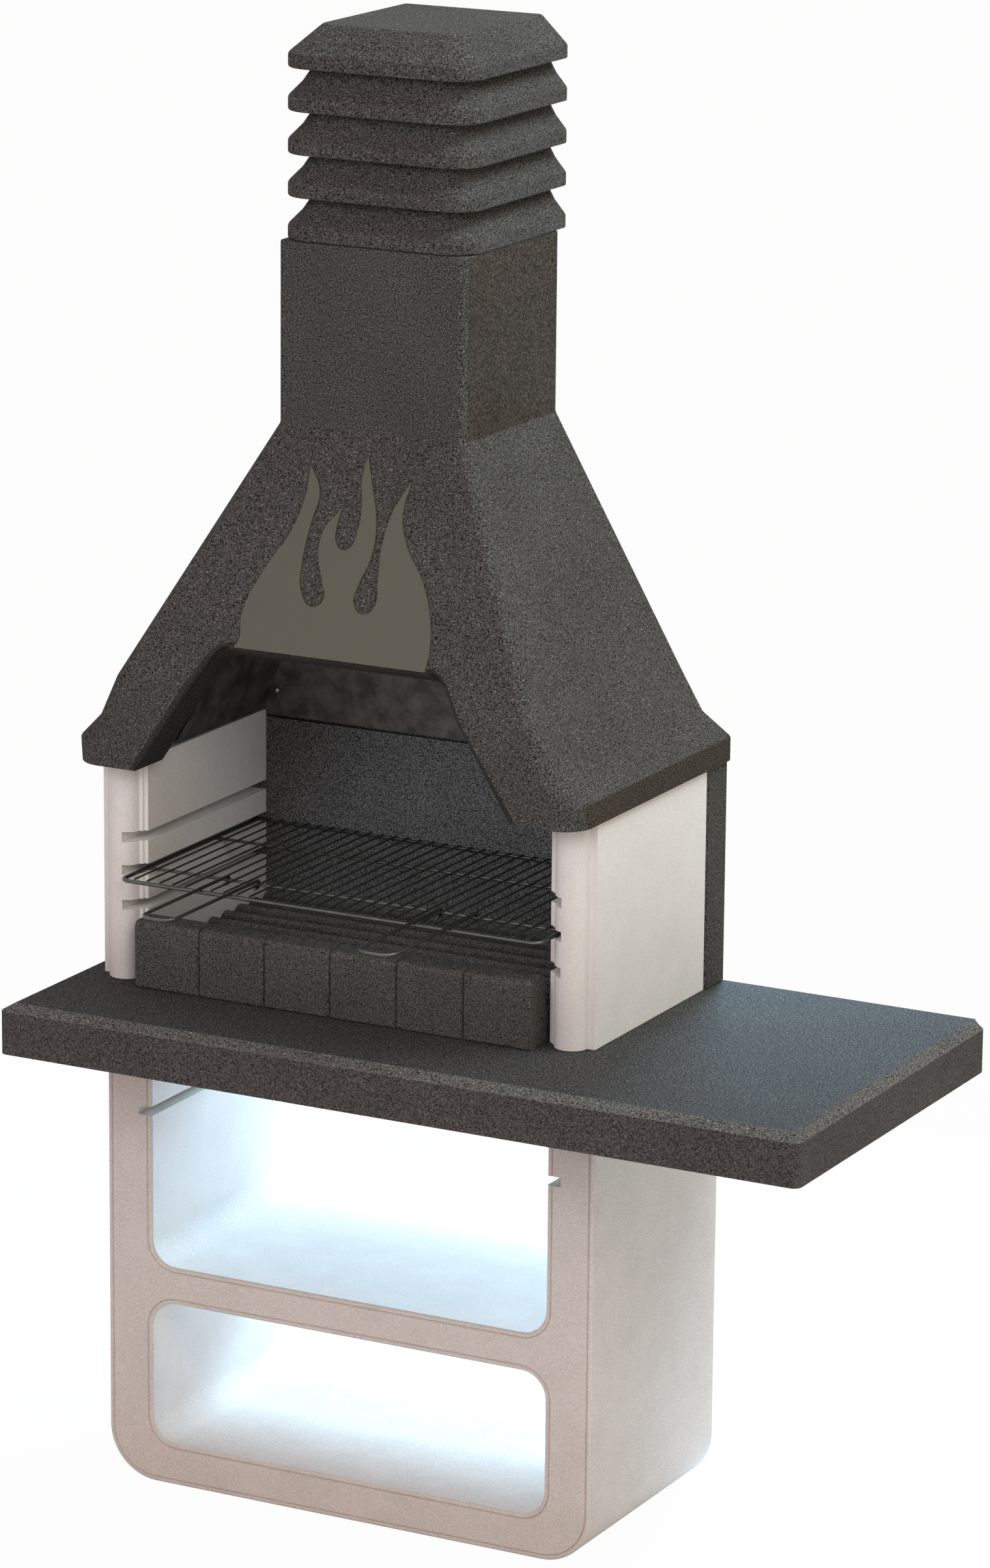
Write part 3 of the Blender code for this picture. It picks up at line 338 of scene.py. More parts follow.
@dataclass(frozen=True)
class SheetSteel:
    """Steel: painted on the hood's front, smoked in the liner, zinc-plated or chromed.

    Attributes:
        name: The material's name.
        ground: Its main colour.
        stain: The colour of its stains.
        stain_mm: The size of the stains.
        metallic: How much bare metal shows.
        roughness: The roughness outside the stains.
        stain_roughness: The roughness in the stains.
        grain_mm: The size of the surface's waves.
        relief_mm: How far they stand out.
    """

    name: str
    ground: str
    stain: str
    stain_mm: float
    metallic: float
    roughness: float
    stain_roughness: float
    grain_mm: float
    relief_mm: float

    def make(self) -> bpy.types.Material:
        """Build the material.

        Returns:
            A metal finish with stains that change its colour and its gloss.
        """
        made, tree, shader = new_finish(self.name)
        shader.inputs["Metallic"].default_value = self.metallic
        place = add_node(tree, "TexCoord", {}, "Object")
        spread = {"Detail": 6.0, "Roughness": 0.62, "Distortion": 0.15}
        stained = {"Vector": place, "Scale": grains_per_metre(self.stain_mm), **spread}
        stain = add_node(tree, "TexNoise", stained)
        tone = add_node(tree, "MapRange", {"Value": stain, "From Min": 0.38, "From Max": 0.64})
        layers = {LAYER_SHARE: tone, LAYER_UNDER: linear(self.ground), LAYER_OVER: linear(self.stain)}
        colour = add_node(tree, "Mix", layers, LAYER_RESULT, data_type="RGBA")
        shine = {"Value": tone, "To Min": self.roughness, "To Max": self.stain_roughness}
        waves = {"Vector": place, "Scale": grains_per_metre(self.grain_mm), "Detail": 2.0}
        skin = add_node(tree, "TexNoise", waves)
        relief = {"Strength": 0.3, "Distance": self.relief_mm * MILLIMETRE, "Height": skin}
        tree.links.new(colour, shader.inputs["Base Color"])
        tree.links.new(add_node(tree, "MapRange", shine), shader.inputs["Roughness"])
        tree.links.new(add_node(tree, "Bump", relief), shader.inputs["Normal"])
        return made


class Finish(Enum):
    """The barbecue's finishes; some are lighter or darker copies of one material that carry painted light or
    painted shade.
    """

    # White cement with fine marble sand, cast smooth: matt, warm white, softly clouded. The sand of
    # under 1 mm is drawn at 1.5 mm so that it shows
    CEMENT = SmoothCement("white_cement", "E6E3DC", "C7C4BD")
    # The firebox walls' cement, drawn whiter and cooler than the base's
    WALL = SmoothCement("white_wall_cement", "F2F5F2", "DDE0DD")
    # Dark pigmented concrete with black lava sand of 1 to 2 mm: gritty, pitted, no gloss
    CONCRETE = CastConcrete("dark_concrete", "2A2C2A", "636461", "141413", "81827D", 1.7, 0.3)
    # The same on the hood's upright sides, a little darker: painted shade on the faces that look to the sides
    SIDE = CastConcrete("painted_shade_side_concrete", "272523", "565048", "131211", "706B64", 1.7, 0.25)
    # The same around the fire opening, darker and with less contrast: painted shade on its reveal and its
    # rounded edge
    REVEAL = CastConcrete("shaded_concrete", "2B2928", "403D3B", "1B1A1A", "4F4B48", 1.7, 0.25)
    # The smoke chamber's walls, nearly black: painted shade inside the chamber behind the fire opening
    CHAMBER_SHADE = CastConcrete("painted_shade_chamber_concrete", "0B0B0B", "121211", "080808", "171716", 1.7, 0.2)
    # The rear panel's face in the firebox, lighter and greyer than the outside: painted light inside the
    # firebox
    PANEL = CastConcrete("painted_light_panel_concrete", "343635", "787B7B", "191A1A", "9C9F9E", 1.7, 0.3)
    # The worktop's front and ends: a finer mix of the same sand, with few pits
    SLAB = CastConcrete("fine_concrete", "393938", "5D5C59", "242423", "72716D", 1.6, 0.2)
    # The worktop's top, trowelled: dark, with the sand grains lying bare
    TROWELLED = CastConcrete("trowelled_concrete", "1D1E1D", "575855", "101110", "7B7C78", 2.0, 0.3)
    # The worktop's chamfer, lighter than its top and front: painted light where the chamfer faces the light
    CHAMFER = CastConcrete("painted_light_chamfer_concrete", "3B3C39", "797A76", "1B1B1A", "999A94", 1.8, 0.3)
    # Refractory concrete of the fire bricks: the same lava sand, a little greyer
    CLAY = CastConcrete("fire_clay", "383A38", "696C68", "1D1E1C", "80837D", 1.6, 0.3)
    # The bricks' ridged beds, with painted shade down in the hollows and painted light on the crests
    BED = CastConcrete("painted_shade_fire_clay", "3B3C39", "6C6E69", "1C1D1B", "80837D", 1.6, 0.3, shade=0.6)
    # Painted sheet steel: even, satin, a warm bronze grey
    PLATE = SheetSteel("painted_steel", "4C4B3E", "515042", 60.0, 0.0, 0.55, 0.6, 2.0, 0.05)
    # Black sheet steel marked by smoke and heat: cloudy, half matt
    LINER = SheetSteel("liner_steel", "3A3837", "655F5C", 34.0, 0.4, 0.5, 0.62, 6.0, 0.1)
    # Zinc-plated rivets: small, pale and a little dull
    RIVET = SheetSteel("zinc_plated_steel", "B9B9B6", "A3A3A0", 4.0, 0.9, 0.3, 0.4, 1.0, 0.05)
    # Chromed wire darkened by use: smooth, with a soft shine along its length
    WIRE = SheetSteel("chromed_wire", "5A5C57", "4B4D48", 30.0, 0.8, 0.36, 0.44, 1.5, 0.02)


@cache
def material_of(finish: Finish) -> bpy.types.Material:
    """Return a finish's material, which is made at its first use."""
    return finish.value.make()


# Mesh tools shared by the sub-assemblies


def pick(geometry: Sequence, kind: type) -> list:
    """Return the vertices, the edges or the faces among an operator's results."""
    return [part for part in geometry if isinstance(part, kind)]


def bevel(
    mesh_data: BMesh,
    geometry: Sequence,
    offset: float,
    segments: int,
    affect: str = "EDGES",
    clamp: bool = True,
) -> list[BMFace]:
    """Round edges or vertices of a mesh.

    Args:
        mesh_data: The mesh to change.
        geometry: The edges, or the vertices, to round.
        offset: How far the rounding starts from the edge or vertex.
        segments: The number of strips in it.
        affect: EDGES or VERTICES.
        clamp: Whether short neighbouring edges keep it small.

    Returns:
        The new faces.
    """
    made = bmesh.ops.bevel(
        mesh_data,
        geom=list(geometry),
        offset=offset,
        offset_type="OFFSET",
        segments=segments,
        profile=0.5,
        affect=affect,
        material=-1,
        clamp_overlap=clamp,
    )
    return made["faces"]


def block(low: Corner, high: Corner) -> BMesh:
    """Make a box.

    Args:
        low: Its lowest corner.
        high: Its highest corner.

    Returns:
        The box's mesh.
    """
    mesh_data = bmesh.new()
    bmesh.ops.create_cube(mesh_data, size=1.0)
    bmesh.ops.scale(mesh_data, vec=Vector(high) - Vector(low), verts=mesh_data.verts)
    bmesh.ops.translate(mesh_data, vec=(Vector(high) + Vector(low)) / 2, verts=mesh_data.verts)
    return mesh_data


def side_groove(side: Side, face: float, depth: float, run: Span, heights: Span) -> BMesh:
    """Make the cutting shape of a groove along the inner face of a side wall.

    Args:
        side: The side that the wall stands on.
        face: How far its inner face is from the middle.
        depth: The groove's depth.
        run: The wall's front and back, which the shape overruns.
        heights: The groove's lower and upper edges.

    Returns:
        The closed mesh.
    """
    low, high = sorted((side.value * (face - OVERRUN), side.value * (face + depth)))
    return block((low, run[0] - OVERRUN, heights[0]), (high, run[1] + OVERRUN, heights[1]))


def edges_along(mesh_data: BMesh, axis: int) -> list[BMEdge]:
    """Find the edges that run along an axis.

    Args:
        mesh_data: The mesh.
        axis: The axis: X, Y or Z.

    Returns:
        Its edges along that axis.
    """
    found = []
    for edge in mesh_data.edges:
        run = (edge.verts[1].co - edge.verts[0].co).normalized()
        if abs(run[axis]) > ALONG:
            found.append(edge)
    return found


def slice_at(mesh_data: BMesh, place: Corner, across: Corner) -> None:
    """Cut new edges where a plane crosses a mesh.

    Args:
        mesh_data: The mesh to change.
        place: A point of the plane.
        across: The direction square to it.
    """
    geometry = mesh_data.verts[:] + mesh_data.edges[:] + mesh_data.faces[:]
    bmesh.ops.bisect_plane(mesh_data, geom=geometry, plane_co=place, plane_no=across)


def settle(item: bpy.types.Object) -> None:
    """Apply an object's modifiers to its mesh.

    Args:
        item: The object, which keeps no modifier.
    """
    bpy.context.view_layer.update()
    evaluated = item.evaluated_get(bpy.context.evaluated_depsgraph_get())
    mesh = bpy.data.meshes.new_from_object(evaluated)
    item.modifiers.clear()
    old = item.data
    item.data = mesh
    bpy.data.meshes.remove(old)


def as_object(name: str, mesh_data: BMesh) -> bpy.types.Object:
    """Turn a mesh into an object of the scene.

    Args:
        name: The object's name.
        mesh_data: Its mesh, which is freed here.

    Returns:
        The object.
    """
    bmesh.ops.recalc_face_normals(mesh_data, faces=mesh_data.faces)
    mesh = bpy.data.meshes.new(name)
    mesh_data.to_mesh(mesh)
    mesh_data.free()
    item = bpy.data.objects.new(name, mesh)
    bpy.context.scene.collection.objects.link(item)
    return item


def cut_away(target: bpy.types.Object, cutters: Sequence[BMesh], skin: Skin = Skin.OUTSIDE) -> None:
    """Cut closed shapes out of an object and discard them.

    Args:
        target: The object to cut.
        cutters: The closed meshes to take away, which are freed here.
        skin: The target's material that the cut faces get.
    """
    for index, cutter in enumerate(cutters):
        for face in cutter.faces:
            face.material_index = skin.value
        tool = as_object(f"{target.name}_cutter_{index}", cutter)
        for material in target.data.materials:
            tool.data.materials.append(material)
        modifier = target.modifiers.new(tool.name, "BOOLEAN")
        modifier.operation = "DIFFERENCE"
        modifier.solver = "EXACT"
        modifier.object = tool
        settle(target)
        mesh = tool.data
        bpy.data.objects.remove(tool)
        bpy.data.meshes.remove(mesh)


def reshape(item: bpy.types.Object, *works: Callable[[BMesh], None]) -> None:
    """Run mesh work on an object's mesh.

    Args:
        item: The object whose mesh changes.
        works: What to do with the mesh, in order.
    """
    for work in works:
        mesh_data = bmesh.new()
        mesh_data.from_mesh(item.data)
        work(mesh_data)
        mesh_data.to_mesh(item.data)
        mesh_data.free()


def clear_seams(mesh_data: BMesh) -> None:
    """Merge the doubles and dissolve the flat seams that a cut leaves.

    Args:
        mesh_data: The mesh to change.
    """
    bmesh.ops.remove_doubles(mesh_data, verts=mesh_data.verts, dist=SAME_PLACE)
    flat = math.radians(0.4)
    bmesh.ops.dissolve_limit(mesh_data, angle_limit=flat, verts=mesh_data.verts, edges=mesh_data.edges)


def soften(item: bpy.types.Object, width: float, degrees: float, segments: int = 3) -> None:
    """Round the edges of an object that are sharper than an angle.

    Args:
        item: The object to round.
        width: The width of the rounding.
        degrees: The angle above which an edge is rounded.
        segments: The number of strips in each rounding.
    """
    modifier = item.modifiers.new("soft edges", "BEVEL")
    modifier.width = width
    modifier.segments = segments
    modifier.limit_method = "ANGLE"
    modifier.angle_limit = math.radians(degrees)
    modifier.miter_outer = "MITER_ARC"
    settle(item)


def paint(
    item: bpy.types.Object, finishes: Sequence[Finish], choose: Callable[[bpy.types.MeshPolygon], int]
) -> None:
    """Give a piece several finishes, face by face.

    Args:
        item: The piece.
        finishes: Its finishes.
        choose: The finish's place among them for a face.
    """
    for finish in finishes:
        item.data.materials.append(material_of(finish))
    for polygon in item.data.polygons:
        polygon.material_index = choose(polygon)


def dress(
    item: bpy.types.Object,
    finish: Finish,
    node: str,
    body: Body = Body.BARBECUE,
    smooth_degrees: float = 35.0,
) -> None:
    """Give a piece its shading, its material and its place in the model, and report it.

    Args:
        item: The piece, in place.
        finish: Its finish, unless it is painted already.
        node: The CAD node that it stands for.
        body: The body that it moves with.
        smooth_degrees: Edges sharper than this stay sharp.
    """
    item.data.shade_smooth()
    item.data.set_sharp_from_angle(angle=math.radians(smooth_degrees))
    weights = item.modifiers.new("flat faces stay flat", "WEIGHTED_NORMAL")
    weights.keep_sharp = True
    settle(item)
    if not item.data.materials:
        item.data.materials.append(material_of(finish))
    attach(item, body.value)
    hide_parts(node)
    triangles = sum(len(polygon.vertices) - 2 for polygon in item.data.polygons)
    LOG.info("%s: %d triangles on %s", item.name, triangles, body.value)


def plan_loop(mesh_data: BMesh, section: Section) -> BMFace:
    """Add a level rectangle with rounded front corners.

    Args:
        mesh_data: The mesh that gets it.
        section: Its half width, front, back, height and corner radius.

    Returns:
        Its face.
    """
    half, front, back, height, radius = section
    places = ((-half, front), (half, front), (half, back), (-half, back))
    corners = [mesh_data.verts.new((x, y, height)) for x, y in places]
    face = mesh_data.faces.new(corners)
    before = set(mesh_data.faces)
    if radius > 0.0:
        bevel(mesh_data, corners[:2], radius, CORNER_STEPS, "VERTICES")
    added = [f for f in mesh_data.faces if f not in before]
    return added[0] if added else face


def loft(sections: Sequence[Section]) -> BMesh:
    """Make a closed body through level sections.

    Args:
        sections: The sections, from the lowest to the highest.

    Returns:
        The closed mesh.
    """
    mesh_data = bmesh.new()
    faces = [plan_loop(mesh_data, section) for section in sections]
    loops = [list(face.edges) for face in faces]
    bmesh.ops.delete(mesh_data, geom=faces[1:-1], context="FACES_ONLY")
    for lower, upper in zip(loops, loops[1:]):
        bmesh.ops.bridge_loops(mesh_data, edges=lower + upper)
    bmesh.ops.recalc_face_normals(mesh_data, faces=mesh_data.faces)
    return mesh_data


def round_corners(points: Sequence[Vector], radius: float, steps: int) -> list[Vector]:
    """Turn each inner corner of a path into an arc.

    Args:
        points: The path's corners.
        radius: The radius of the arcs.
        steps: The number of steps in each arc.

    Returns:
        The path with its arcs.
    """
    path = [points[0]]
    for before, corner, after in zip(points, points[1:], points[2:]):
        back = (before - corner).normalized()
        onward = (after - corner).normalized()
        half = back.angle(onward) / 2
        centre = corner + (back + onward).normalized() * (radius / math.sin(half))
        start = corner + back * (radius / math.tan(half)) - centre
        axis = back.cross(onward).normalized()
        for step in range(steps + 1):
            turn = Matrix.Rotation(-(math.pi - 2 * half) * step / steps, 3, axis)
            path.append(centre + turn @ start)
    path.append(points[-1])
    return path


def sweep_wire(mesh_data: BMesh, path: Sequence[Vector], radius: float, sides: int) -> None:
    """Add a round wire along a path, with domed ends.

    Args:
        mesh_data: The mesh that gets it.
        path: The points of the wire's axis, from end to end.
        radius: The wire's radius.
        sides: The number of flat sides that stand for its round.
    """
    onward = (path[1] - path[0]).normalized()
    homeward = (path[-2] - path[-1]).normalized()
    dome = ((0.0, 0.35), (0.15, 0.72), (0.6, 1.0))  # distance from the end and width, in radii
    stations = [(path[0] + onward * radius * rise, share) for rise, share in dome]
    stations += [(point, 1.0) for point in path[1:-1]]
    stations += [(path[-1] + homeward * radius * rise, share) for rise, share in reversed(dome)]
    circle = bmesh.ops.create_circle(mesh_data, cap_ends=False, radius=radius, segments=sides)["verts"]
    ring = list({edge for vertex in circle for edge in vertex.link_edges})
    first = ring
    tangent = Vector((0, 0, 1))
    pose = Matrix.Identity(3)
    last = Matrix.Identity(4)
    for index, (place, share) in enumerate(stations):
        ahead = stations[min(index + 1, len(stations) - 1)][0] - place
        behind = place - stations[max(index - 1, 0)][0]
        heading = (ahead.normalized() + behind.normalized()).normalized()
        pose = tangent.rotation_difference(heading).to_matrix() @ pose
        tangent = heading
        frame = Matrix.Translation(place) @ pose.to_4x4() @ Matrix.Scale(share, 4)
        if index:
            pushed = bmesh.ops.extrude_edge_only(mesh_data, edges=ring)["geom"]
            ring = [edge for edge in pick(pushed, BMEdge) if len(edge.link_faces) == 1]
        moved = list({vertex for edge in ring for vertex in edge.verts})
        bmesh.ops.transform(mesh_data, matrix=frame @ last.inverted(), verts=moved)
        last = frame
    bmesh.ops.edgeloop_fill(mesh_data, edges=first)
    bmesh.ops.edgeloop_fill(mesh_data, edges=ring)


# The masonry


@dataclass(frozen=True)
class BaseCasting:
    """The white cement base: one casting, open from front to back.

    Its two bays are cut through, a scored line follows the outlines of its front and its back,
    and a groove for a loose shelf runs along the inside of each side.
    """

    half_width: float = 0.409
    half_depth: float = 0.205
    height: float = 0.718
    wall: float = 0.076
    foot_radius: float = 0.080
    foot_steps: int = 16
    lower_bay: Span = (0.0655, 0.288)
    upper_bay_floor: float = 0.3463
    bay_radius: float = 0.040
    bay_steps: int = 12
    band: float = 0.0060
    score_half: float = 0.0016
    score_depth: float = 0.0030
    edge: float = 0.0045
    edge_steps: int = 5
    edge_angle: float = math.radians(80.0)
    groove: Span = (0.579, 0.5935)
    groove_depth: float = 0.022

    @property
    def clear(self) -> float:
        """Half of the width inside."""
        return self.half_width - self.wall

    def _bay(self, low: float, high: float, rounded_top: bool) -> BMesh:
        """Make the cutting shape of a bay, with rounded corners.

        Args:
            low: The height of its floor.
            high: The height of its top.
            rounded_top: Whether its upper corners are rounded too.

        Returns:
            The closed mesh.
        """
        reach = self.half_depth + OVERRUN
        bay = block((-self.clear, -reach, low), (self.clear, reach, high))
        corners = [e for e in edges_along(bay, Y) if rounded_top or e.verts[0].co.z < (low + high) / 2]
        bevel(bay, corners, self.bay_radius, self.bay_steps)
        return bay

    def _score_faces(self, mesh_data: BMesh) -> None:
        """Score a line along the outlines of the front and the back.

        Args:
            mesh_data: The casting's mesh.
        """
        half, depth = self.score_half, self.score_depth
        for way in (-1, 1):
            faces = [face for face in mesh_data.faces if face.normal.y * way > FACING]
            for width, rise in ((self.band, 0.0), (half, -depth), (half, depth)):
                bmesh.ops.inset_region(
                    mesh_data,
                    faces=faces,
                    thickness=width,
                    depth=rise,
                    use_even_offset=True,
                    use_boundary=True,
                )

    def _round_outlines(self, mesh_data: BMesh) -> None:
        """Round the outlines of the front and the back, up to the worktop.

        Args:
            mesh_data: The casting's mesh.
        """
        rim = []
        for edge in mesh_data.edges:
            on_face = all(abs(abs(vertex.co.y) - self.half_depth) < SAME_PLACE for vertex in edge.verts)
            below = any(vertex.co.z < self.height - GAP for vertex in edge.verts)
            if on_face and below and edge.calc_face_angle() > self.edge_angle:
                rim.append(edge)
        bevel(mesh_data, rim, self.edge, self.edge_steps, clamp=False)

    def build(self) -> None:
        """Build the base."""
        foot = (-self.half_width, -self.half_depth, 0.0)
        body = block(foot, (self.half_width, self.half_depth, self.height))
        feet = [e for e in edges_along(body, Y) if e.verts[0].co.z < self.height / 2]
        bevel(body, feet, self.foot_radius, self.foot_steps)
        casting = as_object("base_casting", body)
        upper_bay = self._bay(self.upper_bay_floor, self.height + OVERRUN, False)
        cut_away(casting, (self._bay(*self.lower_bay, True), upper_bay))
        reshape(casting, clear_seams, self._score_faces, self._round_outlines)
        run = (-self.half_depth, self.half_depth)
        for side in Side:
            cut_away(casting, [side_groove(side, self.clear, self.groove_depth, run, self.groove)])
        dress(casting, Finish.CEMENT, "base")


@dataclass(frozen=True)
class Worktop:
    """The dark concrete slab with a broad chamfer along its front and both ends."""

    low: Corner = (-0.4574, -0.4312, 0.7183)
    high: Corner = (0.8371, 0.2073, 0.7945)
    corner: float = 0.013
    corner_steps: int = 8
    chamfer_width: float = 0.018
    chamfer_height: float = 0.011
    chamfer_facing: float = 0.3
    top_facing: float = 0.98
    edge: float = 0.002

    def _finish_of(self, face: bpy.types.MeshPolygon) -> int:
        """Return 0 for a face of the front and the ends, 1 of the chamfer and 2 of the top."""
        return sum(face.normal.z > least for least in (self.chamfer_facing, self.top_facing))

    def build(self) -> None:
        """Build the worktop."""
        slab = block(self.low, self.high)
        bevel(slab, edges_along(slab, Z), self.corner, self.corner_steps)
        foot = self.high[Z] - self.chamfer_height
        slice_at(slab, (0, 0, foot), (0, 0, 1))
        left, front = self.low[X] + self.chamfer_width, self.low[Y] + self.chamfer_width
        for vertex in slab.verts:
            if vertex.co.z > foot + GAP:
                vertex.co.x = min(max(vertex.co.x, left), self.high[X] - self.chamfer_width)
                vertex.co.y = max(vertex.co.y, front)
        bmesh.ops.remove_doubles(slab, verts=slab.verts, dist=SAME_PLACE)
        worktop = as_object("worktop_slab", slab)
        soften(worktop, self.edge, degrees=20.0)
        # The chamfer takes a lighter copy of the concrete: painted light
        paint(worktop, (Finish.SLAB, Finish.CHAMFER, Finish.TROWELLED), self._finish_of)
        dress(worktop, Finish.SLAB, "worktop")


@dataclass(frozen=True)
class FireboxWalls:
    """The white side walls with their bullnose fronts, and the dark panel behind them."""

    half_width: float = 0.410
    clear: float = 0.335
    front: float = -0.210
    panel_face: float = 0.1435
    foot: float = 0.7948
    top: float = 1.132
    strip: float = 0.0125
    nose_width: float = 0.051
    nose_reach: float = 0.024
    nose_steps: int = 24
    step_width: float = 0.0055
    step_reach: float = 0.002
    step_setback: float = 0.003
    edge: float = 0.0015
    groove_rises: tuple[float, ...] = (0.9021, 0.9555, 1.0058)
    groove_height: float = 0.015
    groove_depth: float = 0.030
    panel_half_width: float = 0.4127
    panel_back: float = 0.205
    panel_edge: float = 0.002
    rebate_depth: float = 0.009
    rebate_height: float = 0.012

    def _wall_plan(self) -> BMesh:
        """Draw the right wall's level outline, with an oval nose in front.

        Returns:
            A mesh of one face at the wall's foot.
        """
        plan = bmesh.new()
        nose_outer = self.half_width - self.strip
        nose_inner = nose_outer - self.nose_width
        centre = ((nose_outer + nose_inner) / 2, self.front, self.foot)
        start = plan.verts.new((nose_outer, self.front, self.foot))
        sweep = math.pi - math.asin(self.step_reach / self.nose_reach)
        turned = bmesh.ops.spin(
            plan,
            geom=[start],
            cent=centre,
            axis=(0, 0, -1),
            angle=sweep,
            steps=self.nose_steps,
            use_merge=False,
        )
        squeeze = Matrix.Diagonal((1.0, self.nose_reach / (self.nose_width / 2), 1.0, 1.0))
        around = Matrix.Translation(centre) @ squeeze @ Matrix.Translation(-Vector(centre))
        bmesh.ops.transform(plan, matrix=around, verts=plan.verts)
        step = nose_inner - self.step_width
        shoulder = self.front + self.step_setback
        rear = self.panel_face - GAP
        places = (
            (step, self.front - self.step_reach),
            (step, shoulder),
            (self.clear, shoulder),
            (self.clear, rear),
            (self.half_width, rear),
            (self.half_width, self.front),
        )
        end = pick(turned["geom_last"], BMVert)[0]
        chain = [end, *(plan.verts.new((x, y, self.foot)) for x, y in places), start]
        for pair in zip(chain, chain[1:]):
            plan.edges.new(pair)
        bmesh.ops.edgenet_fill(plan, edges=plan.edges)
        return plan

    def _build_wall(self, side: Side) -> None:
        """Build one side wall.

        Args:
            side: The side that it stands on.
        """
        plan = self._wall_plan()
        raised = bmesh.ops.extrude_face_region(plan, geom=plan.faces[:])["geom"]
        bmesh.ops.translate(plan, vec=(0, 0, self.top - self.foot), verts=pick(raised, BMVert))
        bmesh.ops.scale(plan, vec=(side.value, 1, 1), verts=plan.verts)
        wall = as_object(f"firebox_wall_{side.label}", plan)
        soften(wall, self.edge, degrees=30.0, segments=2)
        run = (self.front - self.nose_reach, self.panel_face)
        edges = [(rise, rise + self.groove_height) for rise in self.groove_rises]
        cut_away(wall, [side_groove(side, self.clear, self.groove_depth, run, pair) for pair in edges])
        dress(wall, Finish.WALL, f"wall_{side.label}")

    def _panel_finish_of(self, face: bpy.types.MeshPolygon) -> int:
        """Return 1 for a face that looks into the firebox, or else 0."""
        return int(face.normal.y < -FACING)

    def _build_panel(self) -> None:
        """Build the rear panel: a slab with softened edges and a rebate behind the rear sheet."""
        low = (-self.panel_half_width, self.panel_face, self.foot)
        panel = as_object("rear_panel", block(low, (self.panel_half_width, self.panel_back, self.top)))
        soften(panel, self.panel_edge, degrees=30.0)
        low = (-self.clear, self.panel_face - OVERRUN, self.top - self.rebate_height)
        cut_away(panel, [block(low, (self.clear, self.panel_face + self.rebate_depth, self.top + OVERRUN))])
        # The face that looks into the firebox takes the lighter copy: painted light
        paint(panel, (Finish.CONCRETE, Finish.PANEL), self._panel_finish_of)
        dress(panel, Finish.CONCRETE, "back_panel")

    def build(self) -> None:
        """Build both walls and the panel."""
        for side in Side:
            self._build_wall(side)
        self._build_panel()


@dataclass(frozen=True)
class FireBricks:
    """Six L-shaped fire bricks, each with a raised front lip and a bed of rounded ridges."""

    count: int = 6
    pitch: float = 0.110
    joint: float = 0.0007
    front: float = -0.258
    back: float = 0.1432
    foot: float = 0.7948
    lip: float = 0.050
    lip_top: float = 0.8971
    lip_radius: float = 0.009
    lip_steps: int = 6
    bed: float = 0.847
    bed_facing: float = 0.2
    ridge_pitch: float = 0.042
    ridge_height: float = 0.010
    first_ridge: float = 0.0085
    ridge_steps: int = 8
    edge: float = 0.0042
    edge_steps: int = 3
    edge_angle: float = math.radians(60.0)

    @property
    def half(self) -> float:
        """Half of a brick's width."""
        return (self.pitch - self.joint) / 2

    @property
    def lip_back(self) -> float:
        """The depth at which the lip ends and the bed begins."""
        return self.front + self.lip

    def _bed_height(self, along: float) -> float:
        """Return the ridged bed's height at a depth."""
        phase = (along - self.lip_back - self.first_ridge) / self.ridge_pitch
        return self.bed - self.ridge_height * math.sin(math.pi * phase) ** 2

    def _finish_of(self, face: bpy.types.MeshPolygon) -> int:
        """Return 1 for a face of the ridged bed, or else 0."""
        return int(face.center.y > self.lip_back and face.normal.z > self.bed_facing)

    def _lip_corners(self, brick: BMesh) -> list[BMEdge]:
        """Find the outlines of the lip's two sides.

        Args:
            brick: A brick across the middle.

        Returns:
            Their edges.
        """
        corners = []
        for edge in brick.edges:
            at_side = all(abs(abs(vertex.co.x) - self.half) < SAME_PLACE for vertex in edge.verts)
            on_lip = all(vertex.co.y < self.lip_back - GAP for vertex in edge.verts)
            if at_side and on_lip and edge.calc_face_angle(0.0) > self.edge_angle:
                corners.append(edge)
        return corners

    def _brick(self) -> BMesh:
        """Make one brick across the middle, as a bar that is cut, waved and raised.

        Returns:
            The closed mesh.
        """
        brick = block((-self.half, self.front, self.foot), (self.half, self.back, self.bed))
        for step in range(math.ceil((self.back - self.lip_back) / self.ridge_pitch * self.ridge_steps)):
            slice_at(brick, (0, self.lip_back + self.ridge_pitch * step / self.ridge_steps, 0), (0, 1, 0))
        tops = [face for face in brick.faces if face.normal.z > FACING]
        lip_face = [face for face in tops if face.calc_center_median().y < self.lip_back]
        for vertex in brick.verts:
            if vertex.co.z > self.foot + GAP and vertex.co.y > self.lip_back - GAP:
                vertex.co.z = self._bed_height(vertex.co.y)
        raised = bmesh.ops.extrude_face_region(brick, geom=lip_face)["geom"]
        bmesh.ops.delete(brick, geom=lip_face, context="FACES_ONLY")
        for vertex in pick(raised, BMVert):
            vertex.co.z = self.lip_top
        rim = [e for e in edges_along(brick, X) if e.verts[0].co.z > self.lip_top - GAP]
        bevel(brick, rim, self.lip_radius, self.lip_steps)
        bevel(brick, self._lip_corners(brick), self.edge, self.edge_steps, clamp=False)
        return brick

    def build(self) -> None:
        """Build the row of bricks, from left to right."""
        for index in range(self.count):
            brick = self._brick()
            across = self.pitch * (index - (self.count - 1) / 2)
            bmesh.ops.translate(brick, vec=(across, 0, 0), verts=brick.verts)
            item = as_object(f"fire_brick_{index + 1}", brick)
            # The ridged bed takes the finish with painted shade in its hollows and painted light on its
            # crests
            paint(item, (Finish.CLAY, Finish.BED), self._finish_of)
            dress(item, Finish.CLAY, f"firebrick_{index + 1}")


